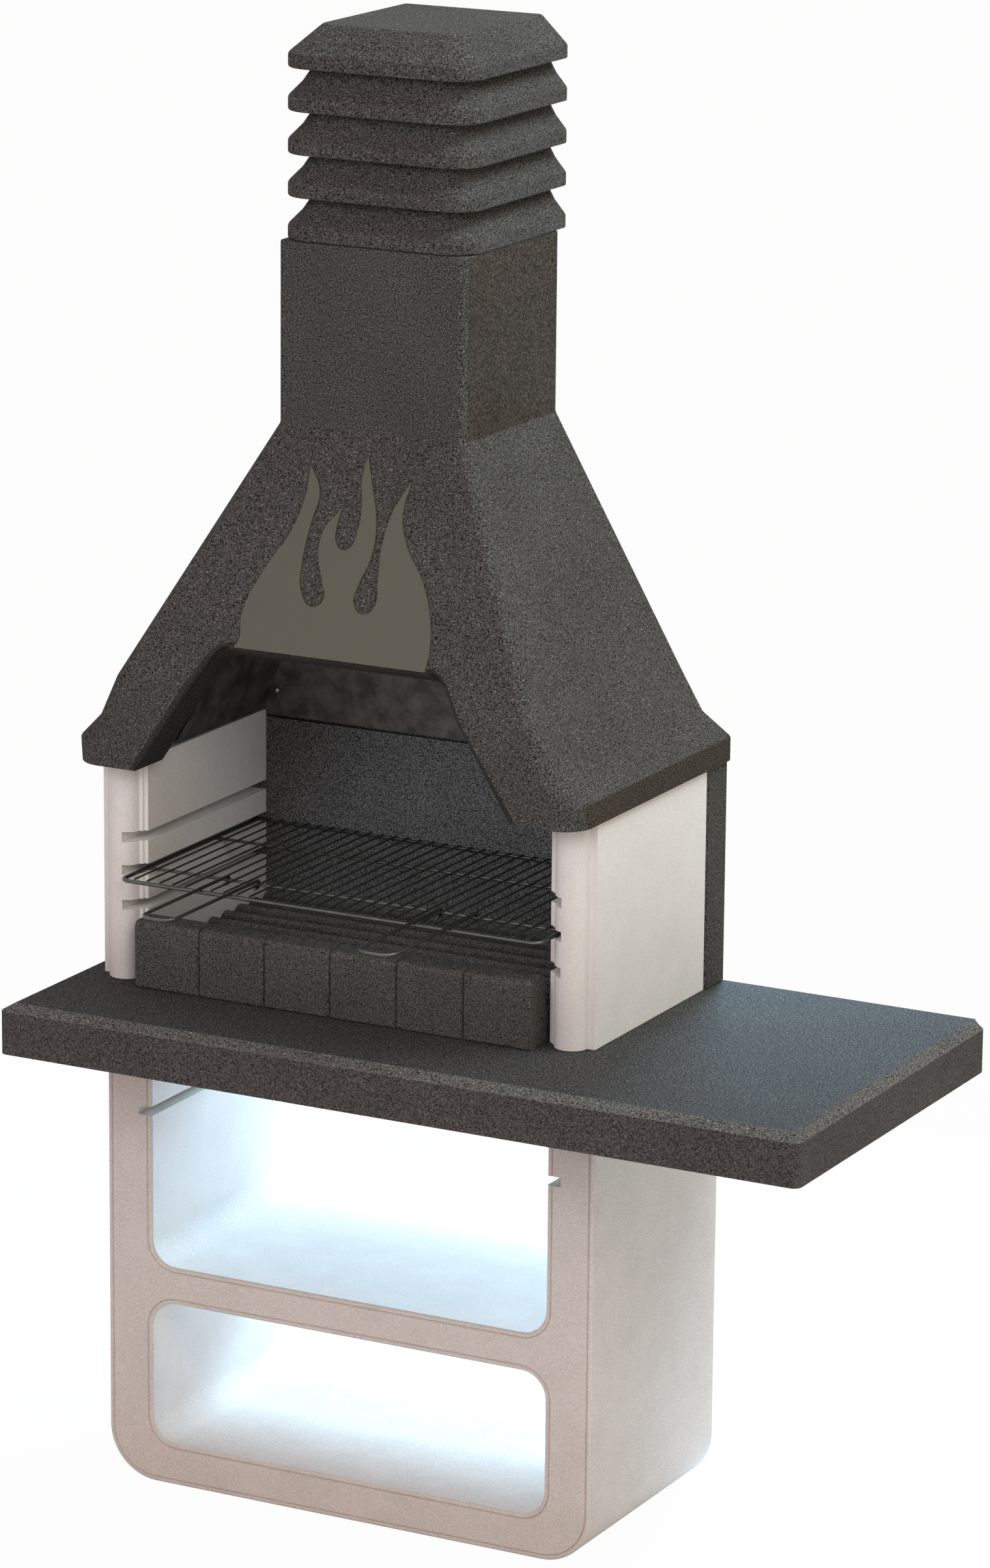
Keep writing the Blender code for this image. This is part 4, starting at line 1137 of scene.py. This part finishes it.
@dataclass(frozen=True)
class SmokeHood:
    """The cast hood: a rim, two shoulders, a leaning front, a shaft and a fire opening.

    Attributes:
        outer: The outer sections: two of the rim, one of each shoulder, two of the shaft.
        inner: The sections of the smoke chamber and the flue.
    """

    outer: tuple[Section, ...] = (
        (0.418, -0.287, 0.205, 1.1323, 0.045),
        (0.418, -0.287, 0.205, 1.1703, 0.040),
        (0.379, -0.287, 0.189, 1.2073, 0.030),
        (0.346, -0.287, 0.180, 1.2713, 0.020),
        (0.154, -0.1409, 0.1425, 1.6413, 0.014),
        (0.154, -0.1409, 0.1425, 1.9083, 0.014),
    )
    inner: tuple[Section, ...] = (
        (0.372, -0.206, 0.159, 1.1123, 0.0),
        (0.372, -0.206, 0.159, 1.1323, 0.0),
        (0.300, -0.206, 0.134, 1.2713, 0.0),
        (0.108, -0.0949, 0.0965, 1.6413, 0.0),
        (0.108, -0.0949, 0.0965, 1.9283, 0.0),
    )
    opening_half_foot: float = 0.3105
    opening_height: float = 0.198
    opening_lean: float = math.radians(33.5)
    opening_corner: float = 0.034
    opening_corner_steps: int = 12
    opening_edge: float = 0.008
    opening_edge_steps: int = 6
    opening_edge_angle: float = math.radians(30.0)
    soffit_depth: float = 0.082
    edge: float = 0.0025

    @property
    def joint(self) -> float:
        """The height of the hood's underside."""
        return self.outer[0][3]

    @property
    def tilt(self) -> float:
        """How far the front slope leans back from upright.

        Returns:
            The angle in radians.
        """
        _, crease_y, _, crease_z, _ = self.outer[3]
        _, foot_y, _, foot_z, _ = self.outer[4]
        return math.atan2(foot_y - crease_y, foot_z - crease_z)

    def _front_at(self, height: float) -> float:
        """Return the depth of the hood's front at a height."""
        _, crease_y, _, crease_z, _ = self.outer[3]
        return crease_y + max(height - crease_z, 0.0) * math.tan(self.tilt)

    def _opening(self) -> BMesh:
        """Make the fire opening's cutting shape: a tapered arch with rounded upper corners.

        Its sides stay in plane, and behind the hood's front its soffit falls square to the slope.

        Returns:
            The closed mesh.
        """
        slope = math.tan(self.opening_lean)
        foot = self.joint - OVERRUN
        top = self.joint + self.opening_height
        half_foot = self.opening_half_foot + OVERRUN * slope
        half_top = self.opening_half_foot - self.opening_height * slope
        arch = bmesh.new()
        places = ((half_foot, foot), (half_top, top), (-half_top, top), (-half_foot, foot))
        near = self.outer[0][1] - OVERRUN
        corners = [arch.verts.new((x, near, z)) for x, z in places]
        arch.faces.new(corners)
        cut = self.opening_corner * math.tan(math.pi / 4 - self.opening_lean / 2)
        bevel(arch, corners[1:3], cut, self.opening_corner_steps, "VERTICES")
        drop = self.soffit_depth * math.tan(self.tilt)
        face = arch.faces[:]
        for run, fall in ((self._front_at(top) - near, 0.0), (self.soffit_depth, drop)):
            pushed = bmesh.ops.extrude_face_region(arch, geom=face)["geom"]
            backs = pick(pushed, BMVert)
            bmesh.ops.translate(arch, vec=(0, run, -fall), verts=backs)
            for vertex in backs:
                vertex.co.x += math.copysign(fall * slope, vertex.co.x)
            if fall:
                bmesh.ops.delete(arch, geom=face, context="FACES_ONLY")
            face = pick(pushed, BMFace)
        return arch

    def _round_opening(self, mesh_data: BMesh) -> None:
        """Round the opening's front edge, on the hood's face, and give the rounding the reveal's finish with
        painted shade.

        Args:
            mesh_data: The hood's mesh.
        """
        rim = []
        top = self.joint + self.opening_height
        reach = self.opening_half_foot + GAP
        for edge in mesh_data.edges:
            if len(edge.link_faces) != 2 or edge.calc_face_angle() < self.opening_edge_angle:
                continue
            places = [vertex.co for vertex in edge.verts]
            on_face = all(abs(place.y - self._front_at(place.z)) < GAP for place in places)
            inside = all(abs(place.x) < reach and place.z < top + GAP for place in places)
            at_foot = all(place.z < self.joint + GAP for place in places)
            if on_face and inside and not at_foot:
                rim.append(edge)
        # The rounding takes the reveal's darker finish: painted shade
        for face in bevel(mesh_data, rim, self.opening_edge, self.opening_edge_steps, clamp=False):
            face.material_index = Skin.REVEAL.value

    def build(self) -> None:
        """Build the hood with its smoke chamber, flue and fire opening."""
        hood = as_object("smoke_hood", loft(self.outer))
        # The outside, and darker copies with painted shade for the reveal, the chamber and the upright sides
        for finish in (Finish.CONCRETE, Finish.REVEAL, Finish.CHAMBER_SHADE, Finish.SIDE):
            hood.data.materials.append(material_of(finish))
        soften(hood, self.edge, degrees=12.0)
        # The chamber's faces take the nearly black finish: painted shade
        cut_away(hood, [loft(self.inner)], Skin.CHAMBER)
        # The opening's reveal takes the darker finish: painted shade
        cut_away(hood, [self._opening()], Skin.REVEAL)
        reshape(hood, clear_seams, self._round_opening)
        # Faces that look to the sides take the darker copy: painted shade
        for polygon in hood.data.polygons:
            if abs(polygon.normal.x) > FACING and polygon.material_index == Skin.OUTSIDE.value:
                polygon.material_index = Skin.SIDE.value
        dress(hood, Finish.CONCRETE, "hood")


@dataclass(frozen=True)
class ChimneyPot:
    """The ribbed pot on the shaft: a base ring, three rings with smoke slots and a cap."""

    half_width: float = 0.156
    front: float = -0.1394
    back: float = 0.1646
    foot: float = 1.9086
    pitch: float = 0.0619
    corner: float = 0.045
    band: float = 0.0205
    inset: float = 0.030
    hollow: float = 0.018
    wall: float = 0.034
    rings: int = 3
    cap_inset: float = 0.043
    cap_top: float = 0.026
    slot_half_width: float = 0.070
    slot_height: float = 0.024
    edge: float = 0.0035

    def _section(self, height: float, inset: float) -> Section:
        """Return a section drawn in at its front and sides, with a smaller corner radius."""
        half = self.half_width - inset
        return (half, self.front + inset, self.back, height, self.corner - inset / 2)

    def _flue(self, bottom: float, top: float) -> BMesh:
        """Make the flue's cutting shape.

        Args:
            bottom: Its lower end.
            top: Its upper end.

        Returns:
            The closed mesh.
        """
        half = self.half_width - self.inset - self.wall / 2
        front = self.front + self.inset + self.wall / 2
        return block((-half, front, bottom), (half, self.back - self.wall, top))

    def _slot(self, bottom: float, top: float) -> BMesh:
        """Make the cutting shape of a smoke slot at a ring's back.

        Args:
            bottom: The height of the ring's underside.
            top: The height of its top.

        Returns:
            The closed mesh.
        """
        low = (bottom + top - self.slot_height) / 2
        near = (-self.slot_half_width, self.back - self.wall - OVERRUN, low)
        return block(near, (self.slot_half_width, self.back + OVERRUN, low + self.slot_height))

    def _build_casting(
        self, name: str, node: str, sections: Sequence[Section], cutters: Sequence[BMesh]
    ) -> None:
        """Build a ring or the cap from its sections.

        Args:
            name: The piece's name.
            node: The CAD node that it stands for.
            sections: Its outer sections, from the lowest to the highest.
            cutters: The shapes to cut out of it.
        """
        casting = as_object(name, loft(sections))
        soften(casting, self.edge, degrees=12.0)
        cut_away(casting, cutters)
        dress(casting, Finish.CONCRETE, node)

    def _build_ring(self, name: str, node: str, bottom: float, slotted: bool) -> None:
        """Build one ring.

        Args:
            name: The piece's name.
            node: The CAD node that it stands for.
            bottom: The height of its underside.
            slotted: Whether a smoke slot opens at its back.
        """
        top = bottom + self.pitch - GAP
        rises = (bottom, bottom + self.band, (bottom + self.band + top) / 2, top)
        insets = (0.0, 0.0, self.hollow, self.inset)
        sections = [self._section(rise, inset) for rise, inset in zip(rises, insets)]
        cutters = [self._flue(bottom - OVERRUN, top + OVERRUN)]
        if slotted:
            cutters.append(self._slot(bottom, top))
        self._build_casting(name, node, sections, cutters)

    def _build_cap(self, bottom: float) -> None:
        """Build the cap, chamfered up to its flat top and hollow underneath.

        Args:
            bottom: The height of its underside.
        """
        top = bottom + self.pitch - GAP
        rises = (bottom, bottom + self.band, top)
        sections = [self._section(rise, inset) for rise, inset in zip(rises, (0.0, 0.0, self.cap_inset))]
        cutters = [self._flue(bottom - OVERRUN, top - self.cap_top)]
        self._build_casting("pot_cap", "chimney_cap", sections, cutters)

    def build(self) -> None:
        """Build the whole pot from its base ring to its cap."""
        self._build_ring("pot_base_ring", "chimney_base_ring", self.foot, False)
        for index in range(1, self.rings + 1):
            bottom = self.foot + self.pitch * index
            self._build_ring(f"pot_ring_{index}", f"chimney_ring_{index}", bottom, True)
        self._build_cap(self.foot + self.pitch * (self.rings + 1))


# The metalwork


@dataclass(frozen=True)
class SteelSheets:
    """The folded sheets and the rivets that join the liner.

    The plate and the liner's rear sheet keep their CAD shapes. The liner's side sheets are bent
    again, with a steeper front edge that leaves a dark gap behind the hood's front.
    """

    seat_height: float = 1.132
    side_rises: Span = (0.002, 0.290)
    side_half: float = 0.338
    side_lean: float = math.radians(24.8)
    side_front: float = -0.1225
    front_lean: float = math.radians(18.2)
    side_back: float = 0.13778
    back_lean: float = math.radians(8.7)
    flange: float = 0.022
    thickness: float = 0.002
    rivet_count: int = 6
    half_grip: float = 0.00245
    shank: float = 0.002
    head: float = 0.0045
    head_height: float = 0.002
    head_steps: int = 5
    turn_steps: int = 20

    def dress_sheets(self, nodes: dict[str, bpy.types.Object]) -> None:
        """Give the flame plate and the liner's rear sheet their finishes.

        Args:
            nodes: The CAD nodes by name.
        """
        for node, finish in (("liner_back", Finish.LINER), ("flame_plate", Finish.PLATE)):
            nodes[node].material_slots[0].material = material_of(finish)
            LOG.info("%s: CAD shape, %s", node, finish.name.lower())

    def _bends(self, side: Side, rise: float) -> list[Corner]:
        """Place the corners of a side sheet at one level.

        Args:
            side: The side that the sheet leans on.
            rise: The level above its seat.

        Returns:
            Its front edge, its bend and its flange's edge.
        """
        across = self.side_half - rise * math.tan(self.side_lean)
        front = self.side_front + rise * math.tan(self.front_lean)
        back = self.side_back - rise * math.tan(self.back_lean)
        corners = ((across, front), (across, back), (across - self.flange, back))
        return [(side.value * x, y, self.seat_height + rise) for x, y in corners]

    def build_sides(self) -> None:
        """Bend the liner's side sheets, which lean inward and have a flange at the rear."""
        for side in Side:
            sheet = bmesh.new()
            foot, top = (
                [sheet.verts.new(corner) for corner in self._bends(side, rise)] for rise in self.side_rises
            )
            for near, far in ((0, 1), (1, 2)):
                sheet.faces.new((foot[near], foot[far], top[far], top[near]))
            item = as_object(f"side_sheet_{side.label}", sheet)
            thicken = item.modifiers.new("sheet", "SOLIDIFY")
            thicken.thickness = self.thickness
            thicken.offset = 1.0
            thicken.use_even_offset = True
            settle(item)
            dress(item, Finish.LINER, f"liner_{side.label}", smooth_degrees=30.0)

    def _rivet(self) -> BMesh:
        """Make one rivet on the Z axis: a shank between two domed heads.

        Returns:
            The closed mesh.
        """
        rivet = bmesh.new()
        outline = []
        for step in range(self.head_steps + 1):
            angle = math.pi / 2 * step / self.head_steps
            outline.append((self.head * math.sin(angle), self.half_grip + self.head_height * math.cos(angle)))
        outline.append((self.shank, self.half_grip))
        mirrored = [(radius, -along) for radius, along in reversed(outline)]
        points = [rivet.verts.new((radius, 0, along)) for radius, along in outline + mirrored]
        edges = [rivet.edges.new(pair) for pair in zip(points, points[1:])]
        bmesh.ops.spin(
            rivet,
            geom=points + edges,
            cent=(0, 0, 0),
            axis=(0, 0, 1),
            angle=math.tau,
            steps=self.turn_steps,
            use_merge=True,
        )
        bmesh.ops.remove_doubles(rivet, verts=rivet.verts, dist=SAME_PLACE)
        return rivet

    def build_rivets(self) -> None:
        """Set each rivet where the solids have it, square to the rear sheet."""
        lean = Matrix.Rotation(math.pi / 2 + self.back_lean, 4, "X")
        for index in range(1, self.rivet_count + 1):
            node = f"liner_rivet_{index}"
            low, high = (Vector(corner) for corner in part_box(node))
            rivet = self._rivet()
            bmesh.ops.transform(rivet, matrix=Matrix.Translation((low + high) / 2) @ lean, verts=rivet.verts)
            item = as_object(f"sheet_rivet_{index}", rivet)
            dress(item, Finish.RIVET, node, smooth_degrees=50.0)


@dataclass(frozen=True)
class GrillWires:
    """The grill: a U-shaped frame, cross wires with bars welded on them, and two wire handles."""

    half_width: float = 0.3465
    front: float = -0.2675
    back: float = 0.1405
    height: float = 0.9588
    wire: float = 0.003
    cross_wire: float = 0.0023
    grip_wire: float = 0.0025
    bar: float = 0.0015
    corner: float = 0.014
    cross_places: tuple[float, ...] = (-0.1895, 0.0075, 0.1375)
    bar_count: int = 31
    weld_sink: float = 0.0008
    weld: Corner = (0.0026, 0.0030, 0.0015)
    handle_reach: float = 0.2525
    handle_corner: float = 0.020
    hook_tail: float = 0.009
    left_handle: Span = (-0.2102, -0.1593)
    right_handle: Span = (0.1457, 0.2036)
    wire_sides: int = 16
    bar_sides: int = 10
    arc_steps: int = 12

    def _frame(self) -> BMesh:
        """Make the U-shaped frame wire.

        Returns:
            The closed mesh.
        """
        half, front, back = self.half_width, self.front, self.back
        places = ((-half, back), (-half, front), (half, front), (half, back))
        corners = [Vector((x, y, self.height)) for x, y in places]
        frame = bmesh.new()
        sweep_wire(frame, round_corners(corners, self.corner, self.arc_steps), self.wire, self.wire_sides)
        return frame

    def _grid(self) -> BMesh:
        """Make the cross wires, the bars on them and a weld bead at each crossing.

        Returns:
            The mesh of them all.
        """
        grid = bmesh.new()
        reach = self.half_width - self.wire - GAP
        for along in self.cross_places:
            ends = (Vector((-reach, along, self.height)), Vector((reach, along, self.height)))
            sweep_wire(grid, ends, self.cross_wire, self.wire_sides)
        crown = self.height + self.cross_wire
        rise = crown + self.bar - self.weld_sink
        first = self.front + self.wire + GAP
        last = self.cross_places[-1] + self.wire
        pitch = 2 * self.half_width / (self.bar_count + 1)
        shape = Matrix.Diagonal((*self.weld, 1.0))
        for index in range(self.bar_count):
            across = pitch * (index + 1) - self.half_width
            ends = (Vector((across, first, rise)), Vector((across, last, rise)))
            sweep_wire(grid, ends, self.bar, self.bar_sides)
            for along in self.cross_places:
                bead = Matrix.Translation((across, along, crown - self.weld_sink / 2))
                bmesh.ops.create_icosphere(grid, subdivisions=1, radius=1.0, matrix=bead @ shape)
        return grid

    def _handle(self, left: float, right: float) -> BMesh:
        """Make one handle: a long loop with a hook at each end, on the front cross wire.

        Args:
            left: Its left leg, along X.
            right: Its right leg, along X.

        Returns:
            The closed mesh.
        """
        pivot = Vector((0, self.cross_places[0], self.height))
        rise = self.cross_wire + self.grip_wire + GAP
        hook = [Vector((0, -self.hook_tail, -rise))]
        for step in range(self.arc_steps + 1):
            angle = math.pi * step / self.arc_steps
            hook.append(Vector((0, rise * math.sin(angle), -rise * math.cos(angle))))
        places = ((left, 0), (left, self.handle_reach), (right, self.handle_reach), (right, 0))
        corners = [Vector((x, -y, rise)) for x, y in places]
        loop = round_corners(corners, self.handle_corner, self.arc_steps)[1:-1]
        path = [point + Vector((left, 0, 0)) for point in hook]
        path += loop + [point + Vector((right, 0, 0)) for point in reversed(hook)]
        handle = bmesh.new()
        sweep_wire(handle, [point + pivot for point in path], self.grip_wire, self.wire_sides)
        return handle

    def build(self) -> None:
        """Build the frame, the grid and the two handles."""
        pieces = (
            ("grill_rail", self._frame(), Body.GRILL, "grill_frame"),
            ("grill_bars", self._grid(), Body.GRILL, "grill_grid"),
            ("grip_left", self._handle(*self.left_handle), Body.LEFT_HANDLE, "handle_left"),
            ("grip_right", self._handle(*self.right_handle), Body.RIGHT_HANDLE, "handle_right"),
        )
        for name, mesh_data, body, node in pieces:
            dress(as_object(name, mesh_data), Finish.WIRE, node, body, smooth_degrees=50.0)


# The studio


def seen_directly(tree: bpy.types.NodeTree) -> bpy.types.NodeSocket:
    """Find what the camera sees, also in gloss and through glass.

    Args:
        tree: The node tree that gets the test.

    Returns:
        A value of 1 for what is seen, or else 0.
    """
    seen = add_node(tree, "LightPath", {}, "Is Camera Ray")
    for ray in ("Is Glossy Ray", "Is Transmission Ray"):
        also = add_node(tree, "LightPath", {}, ray)
        seen = add_node(tree, "Math", {0: seen, 1: also}, operation="MAXIMUM")
    return seen


@dataclass(frozen=True)
class SoftLamp:
    """A square soft lamp.

    Attributes:
        name: Its name.
        place: Where it hangs.
        target: The point that it faces.
        size: The length of its side.
        power: Its power in watts.
        tint: Its colour as an sRGB hex code.
    """

    name: str
    place: Corner
    target: Corner
    size: float
    power: float
    tint: str

    def hang(self) -> None:
        """Add the lamp to the scene, unseen by the camera."""
        data = bpy.data.lights.new(self.name, "AREA")
        data.shape = "SQUARE"
        data.size = self.size
        data.energy = self.power
        data.color = linear(self.tint)[:3]
        lamp = bpy.data.objects.new(self.name, data)
        lamp.location = self.place
        lamp.rotation_euler = (Vector(self.target) - Vector(self.place)).to_track_quat("-Z", "Y").to_euler()
        lamp.visible_camera = False
        bpy.context.scene.collection.objects.link(lamp)


@dataclass(frozen=True)
class Studio:
    """The pale floor, the soft lamps and the camera at the photograph's place."""

    eye: Corner = (4.3121, -7.9313, 3.4346)
    turn: float = math.radians(28.0430)
    rise: float = math.radians(14.6454)
    roll: float = math.radians(0.4652)
    focal_px: float = 9694.38
    centre_px: Span = (716.93, 1218.21)
    sensor_mm: float = 36.0
    far: float = 100.0
    fill: float = 0.31
    fill_tint: str = "FFB897"
    white: str = "FFFFFF"
    floor_tint: str = "E6E6E6"
    floor_size: float = 30.0
    floor_seen: float = 0.97
    lamps: tuple[SoftLamp, ...] = (
        # Two in front, one at the right
        SoftLamp("front_lamp", (-0.6, -5.5, 3.6), (0.0, 0.0, 1.0), 2.4, 102.3, "F1F3FF"),
        SoftLamp("front_right_lamp", (3.4, -3.6, 4.2), (0.0, 0.0, 1.0), 2.4, 67.1, "FFFAF5"),
        SoftLamp("right_lamp", (5.6, -0.6, 1.3), (0.0, 0.0, 0.9), 2.0, 28.5, "F4FFDC"),
        # One above each end
        SoftLamp("top_lamp", (2.4, 0.9, 5.2), (0.2, 0.0, 0.8), 2.4, 172.0, "E8F7FF"),
        SoftLamp("top_left_lamp", (-2.0, 0.9, 4.5), (-0.2, 0.0, 0.8), 1.5, 24.0, "D0E6FF"),
        # Two cool ones that shine through the base's bays from behind
        SoftLamp("low_rear_lamp", (0.14, 1.2, 0.26), (-0.1, 0.0, 0.3), 0.5, 18.0, "C6E0FF"),
        SoftLamp("high_rear_lamp", (0.08, 1.25, 1.15), (-0.05, 0.0, 0.35), 0.5, 48.0, "BDE2FF"),
        # A weak one in the fire opening that lifts the hearth's shade
        SoftLamp("hearth_lamp", (0.05, -0.20, 1.16), (0.05, 0.14, 1.02), 0.25, 0.27, "F1F9FF"),
    )

    def _build_camera(self) -> None:
        """Place the camera, which was fitted to the photograph, and make it the scene's."""
        level_reach = math.cos(self.rise)
        back = Vector(
            (math.sin(self.turn) * level_reach, -math.cos(self.turn) * level_reach, math.sin(self.rise))
        )
        level = Vector((math.cos(self.turn), math.sin(self.turn), 0.0))
        upright = level.cross(-back)
        right = level * math.cos(self.roll) + upright * math.sin(self.roll)
        up = upright * math.cos(self.roll) - level * math.sin(self.roll)
        data = bpy.data.cameras.new("photograph_camera")
        data.sensor_fit = "VERTICAL"
        data.sensor_height = self.sensor_mm
        data.lens = self.focal_px * self.sensor_mm / PHOTO_HEIGHT_PX
        data.shift_x = (PHOTO_WIDTH_PX / 2 - self.centre_px[0]) / PHOTO_HEIGHT_PX
        data.shift_y = (self.centre_px[1] - PHOTO_HEIGHT_PX / 2) / PHOTO_HEIGHT_PX
        data.clip_end = self.far
        camera = bpy.data.objects.new("photograph_camera", data)
        place = Matrix((right, up, back)).transposed().to_4x4()
        place.translation = Vector(self.eye)
        camera.matrix_world = place
        bpy.context.scene.collection.objects.link(camera)
        bpy.context.scene.camera = camera

    def _build_world(self) -> None:
        """Fill the surroundings with soft light, which the camera sees as white."""
        world = bpy.data.worlds.new("studio")
        world.use_nodes = True
        tree = world.node_tree
        tree.nodes.clear()
        fill = add_node(tree, "Background", {"Color": linear(self.fill_tint), "Strength": self.fill})
        white = add_node(tree, "Background", {"Color": linear(self.white), "Strength": 1.0})
        mixed = add_node(tree, "MixShader", {0: seen_directly(tree), 1: fill, 2: white})
        tree.links.new(mixed, tree.nodes.new("ShaderNodeOutputWorld").inputs["Surface"])
        bpy.context.scene.world = world

    def _build_floor(self) -> None:
        """Lay the pale floor, white to the camera, with the barbecue's faint shadow on it."""
        made, tree, shader = new_finish("pale_floor")
        shader.inputs["Base Color"].default_value = linear(self.floor_tint)
        shader.inputs["Roughness"].default_value = 0.9
        glow = add_node(tree, "Emission", {"Color": linear(self.white), "Strength": 1.0})
        share = add_node(tree, "Math", {0: seen_directly(tree), 1: self.floor_seen}, operation="MULTIPLY")
        mixed = add_node(tree, "MixShader", {0: share, 1: shader.outputs[0], 2: glow})
        tree.links.new(mixed, tree.nodes["Material Output"].inputs["Surface"])
        sheet = bmesh.new()
        bmesh.ops.create_grid(sheet, x_segments=2, y_segments=2, size=self.floor_size)
        floor = as_object("pale_floor", sheet)
        floor.data.materials.append(made)

    def build(self) -> None:
        """Build the camera, the surroundings, the lamps and the floor."""
        bpy.context.scene.view_settings.view_transform = "Standard"
        self._build_camera()
        self._build_world()
        for lamp in self.lamps:
            lamp.hang()
        self._build_floor()


def main() -> None:
    """Build the whole picture in order."""
    logging.basicConfig(level=logging.INFO, format="%(name)s: %(message)s")
    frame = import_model()
    Studio().build()
    BaseCasting().build()
    Worktop().build()
    FireboxWalls().build()
    FireBricks().build()
    SmokeHood().build()
    ChimneyPot().build()
    sheets = SteelSheets()
    sheets.dress_sheets(frame["nodes"])
    sheets.build_sides()
    sheets.build_rivets()
    GrillWires().build()


if __name__ == "__main__":
    main()
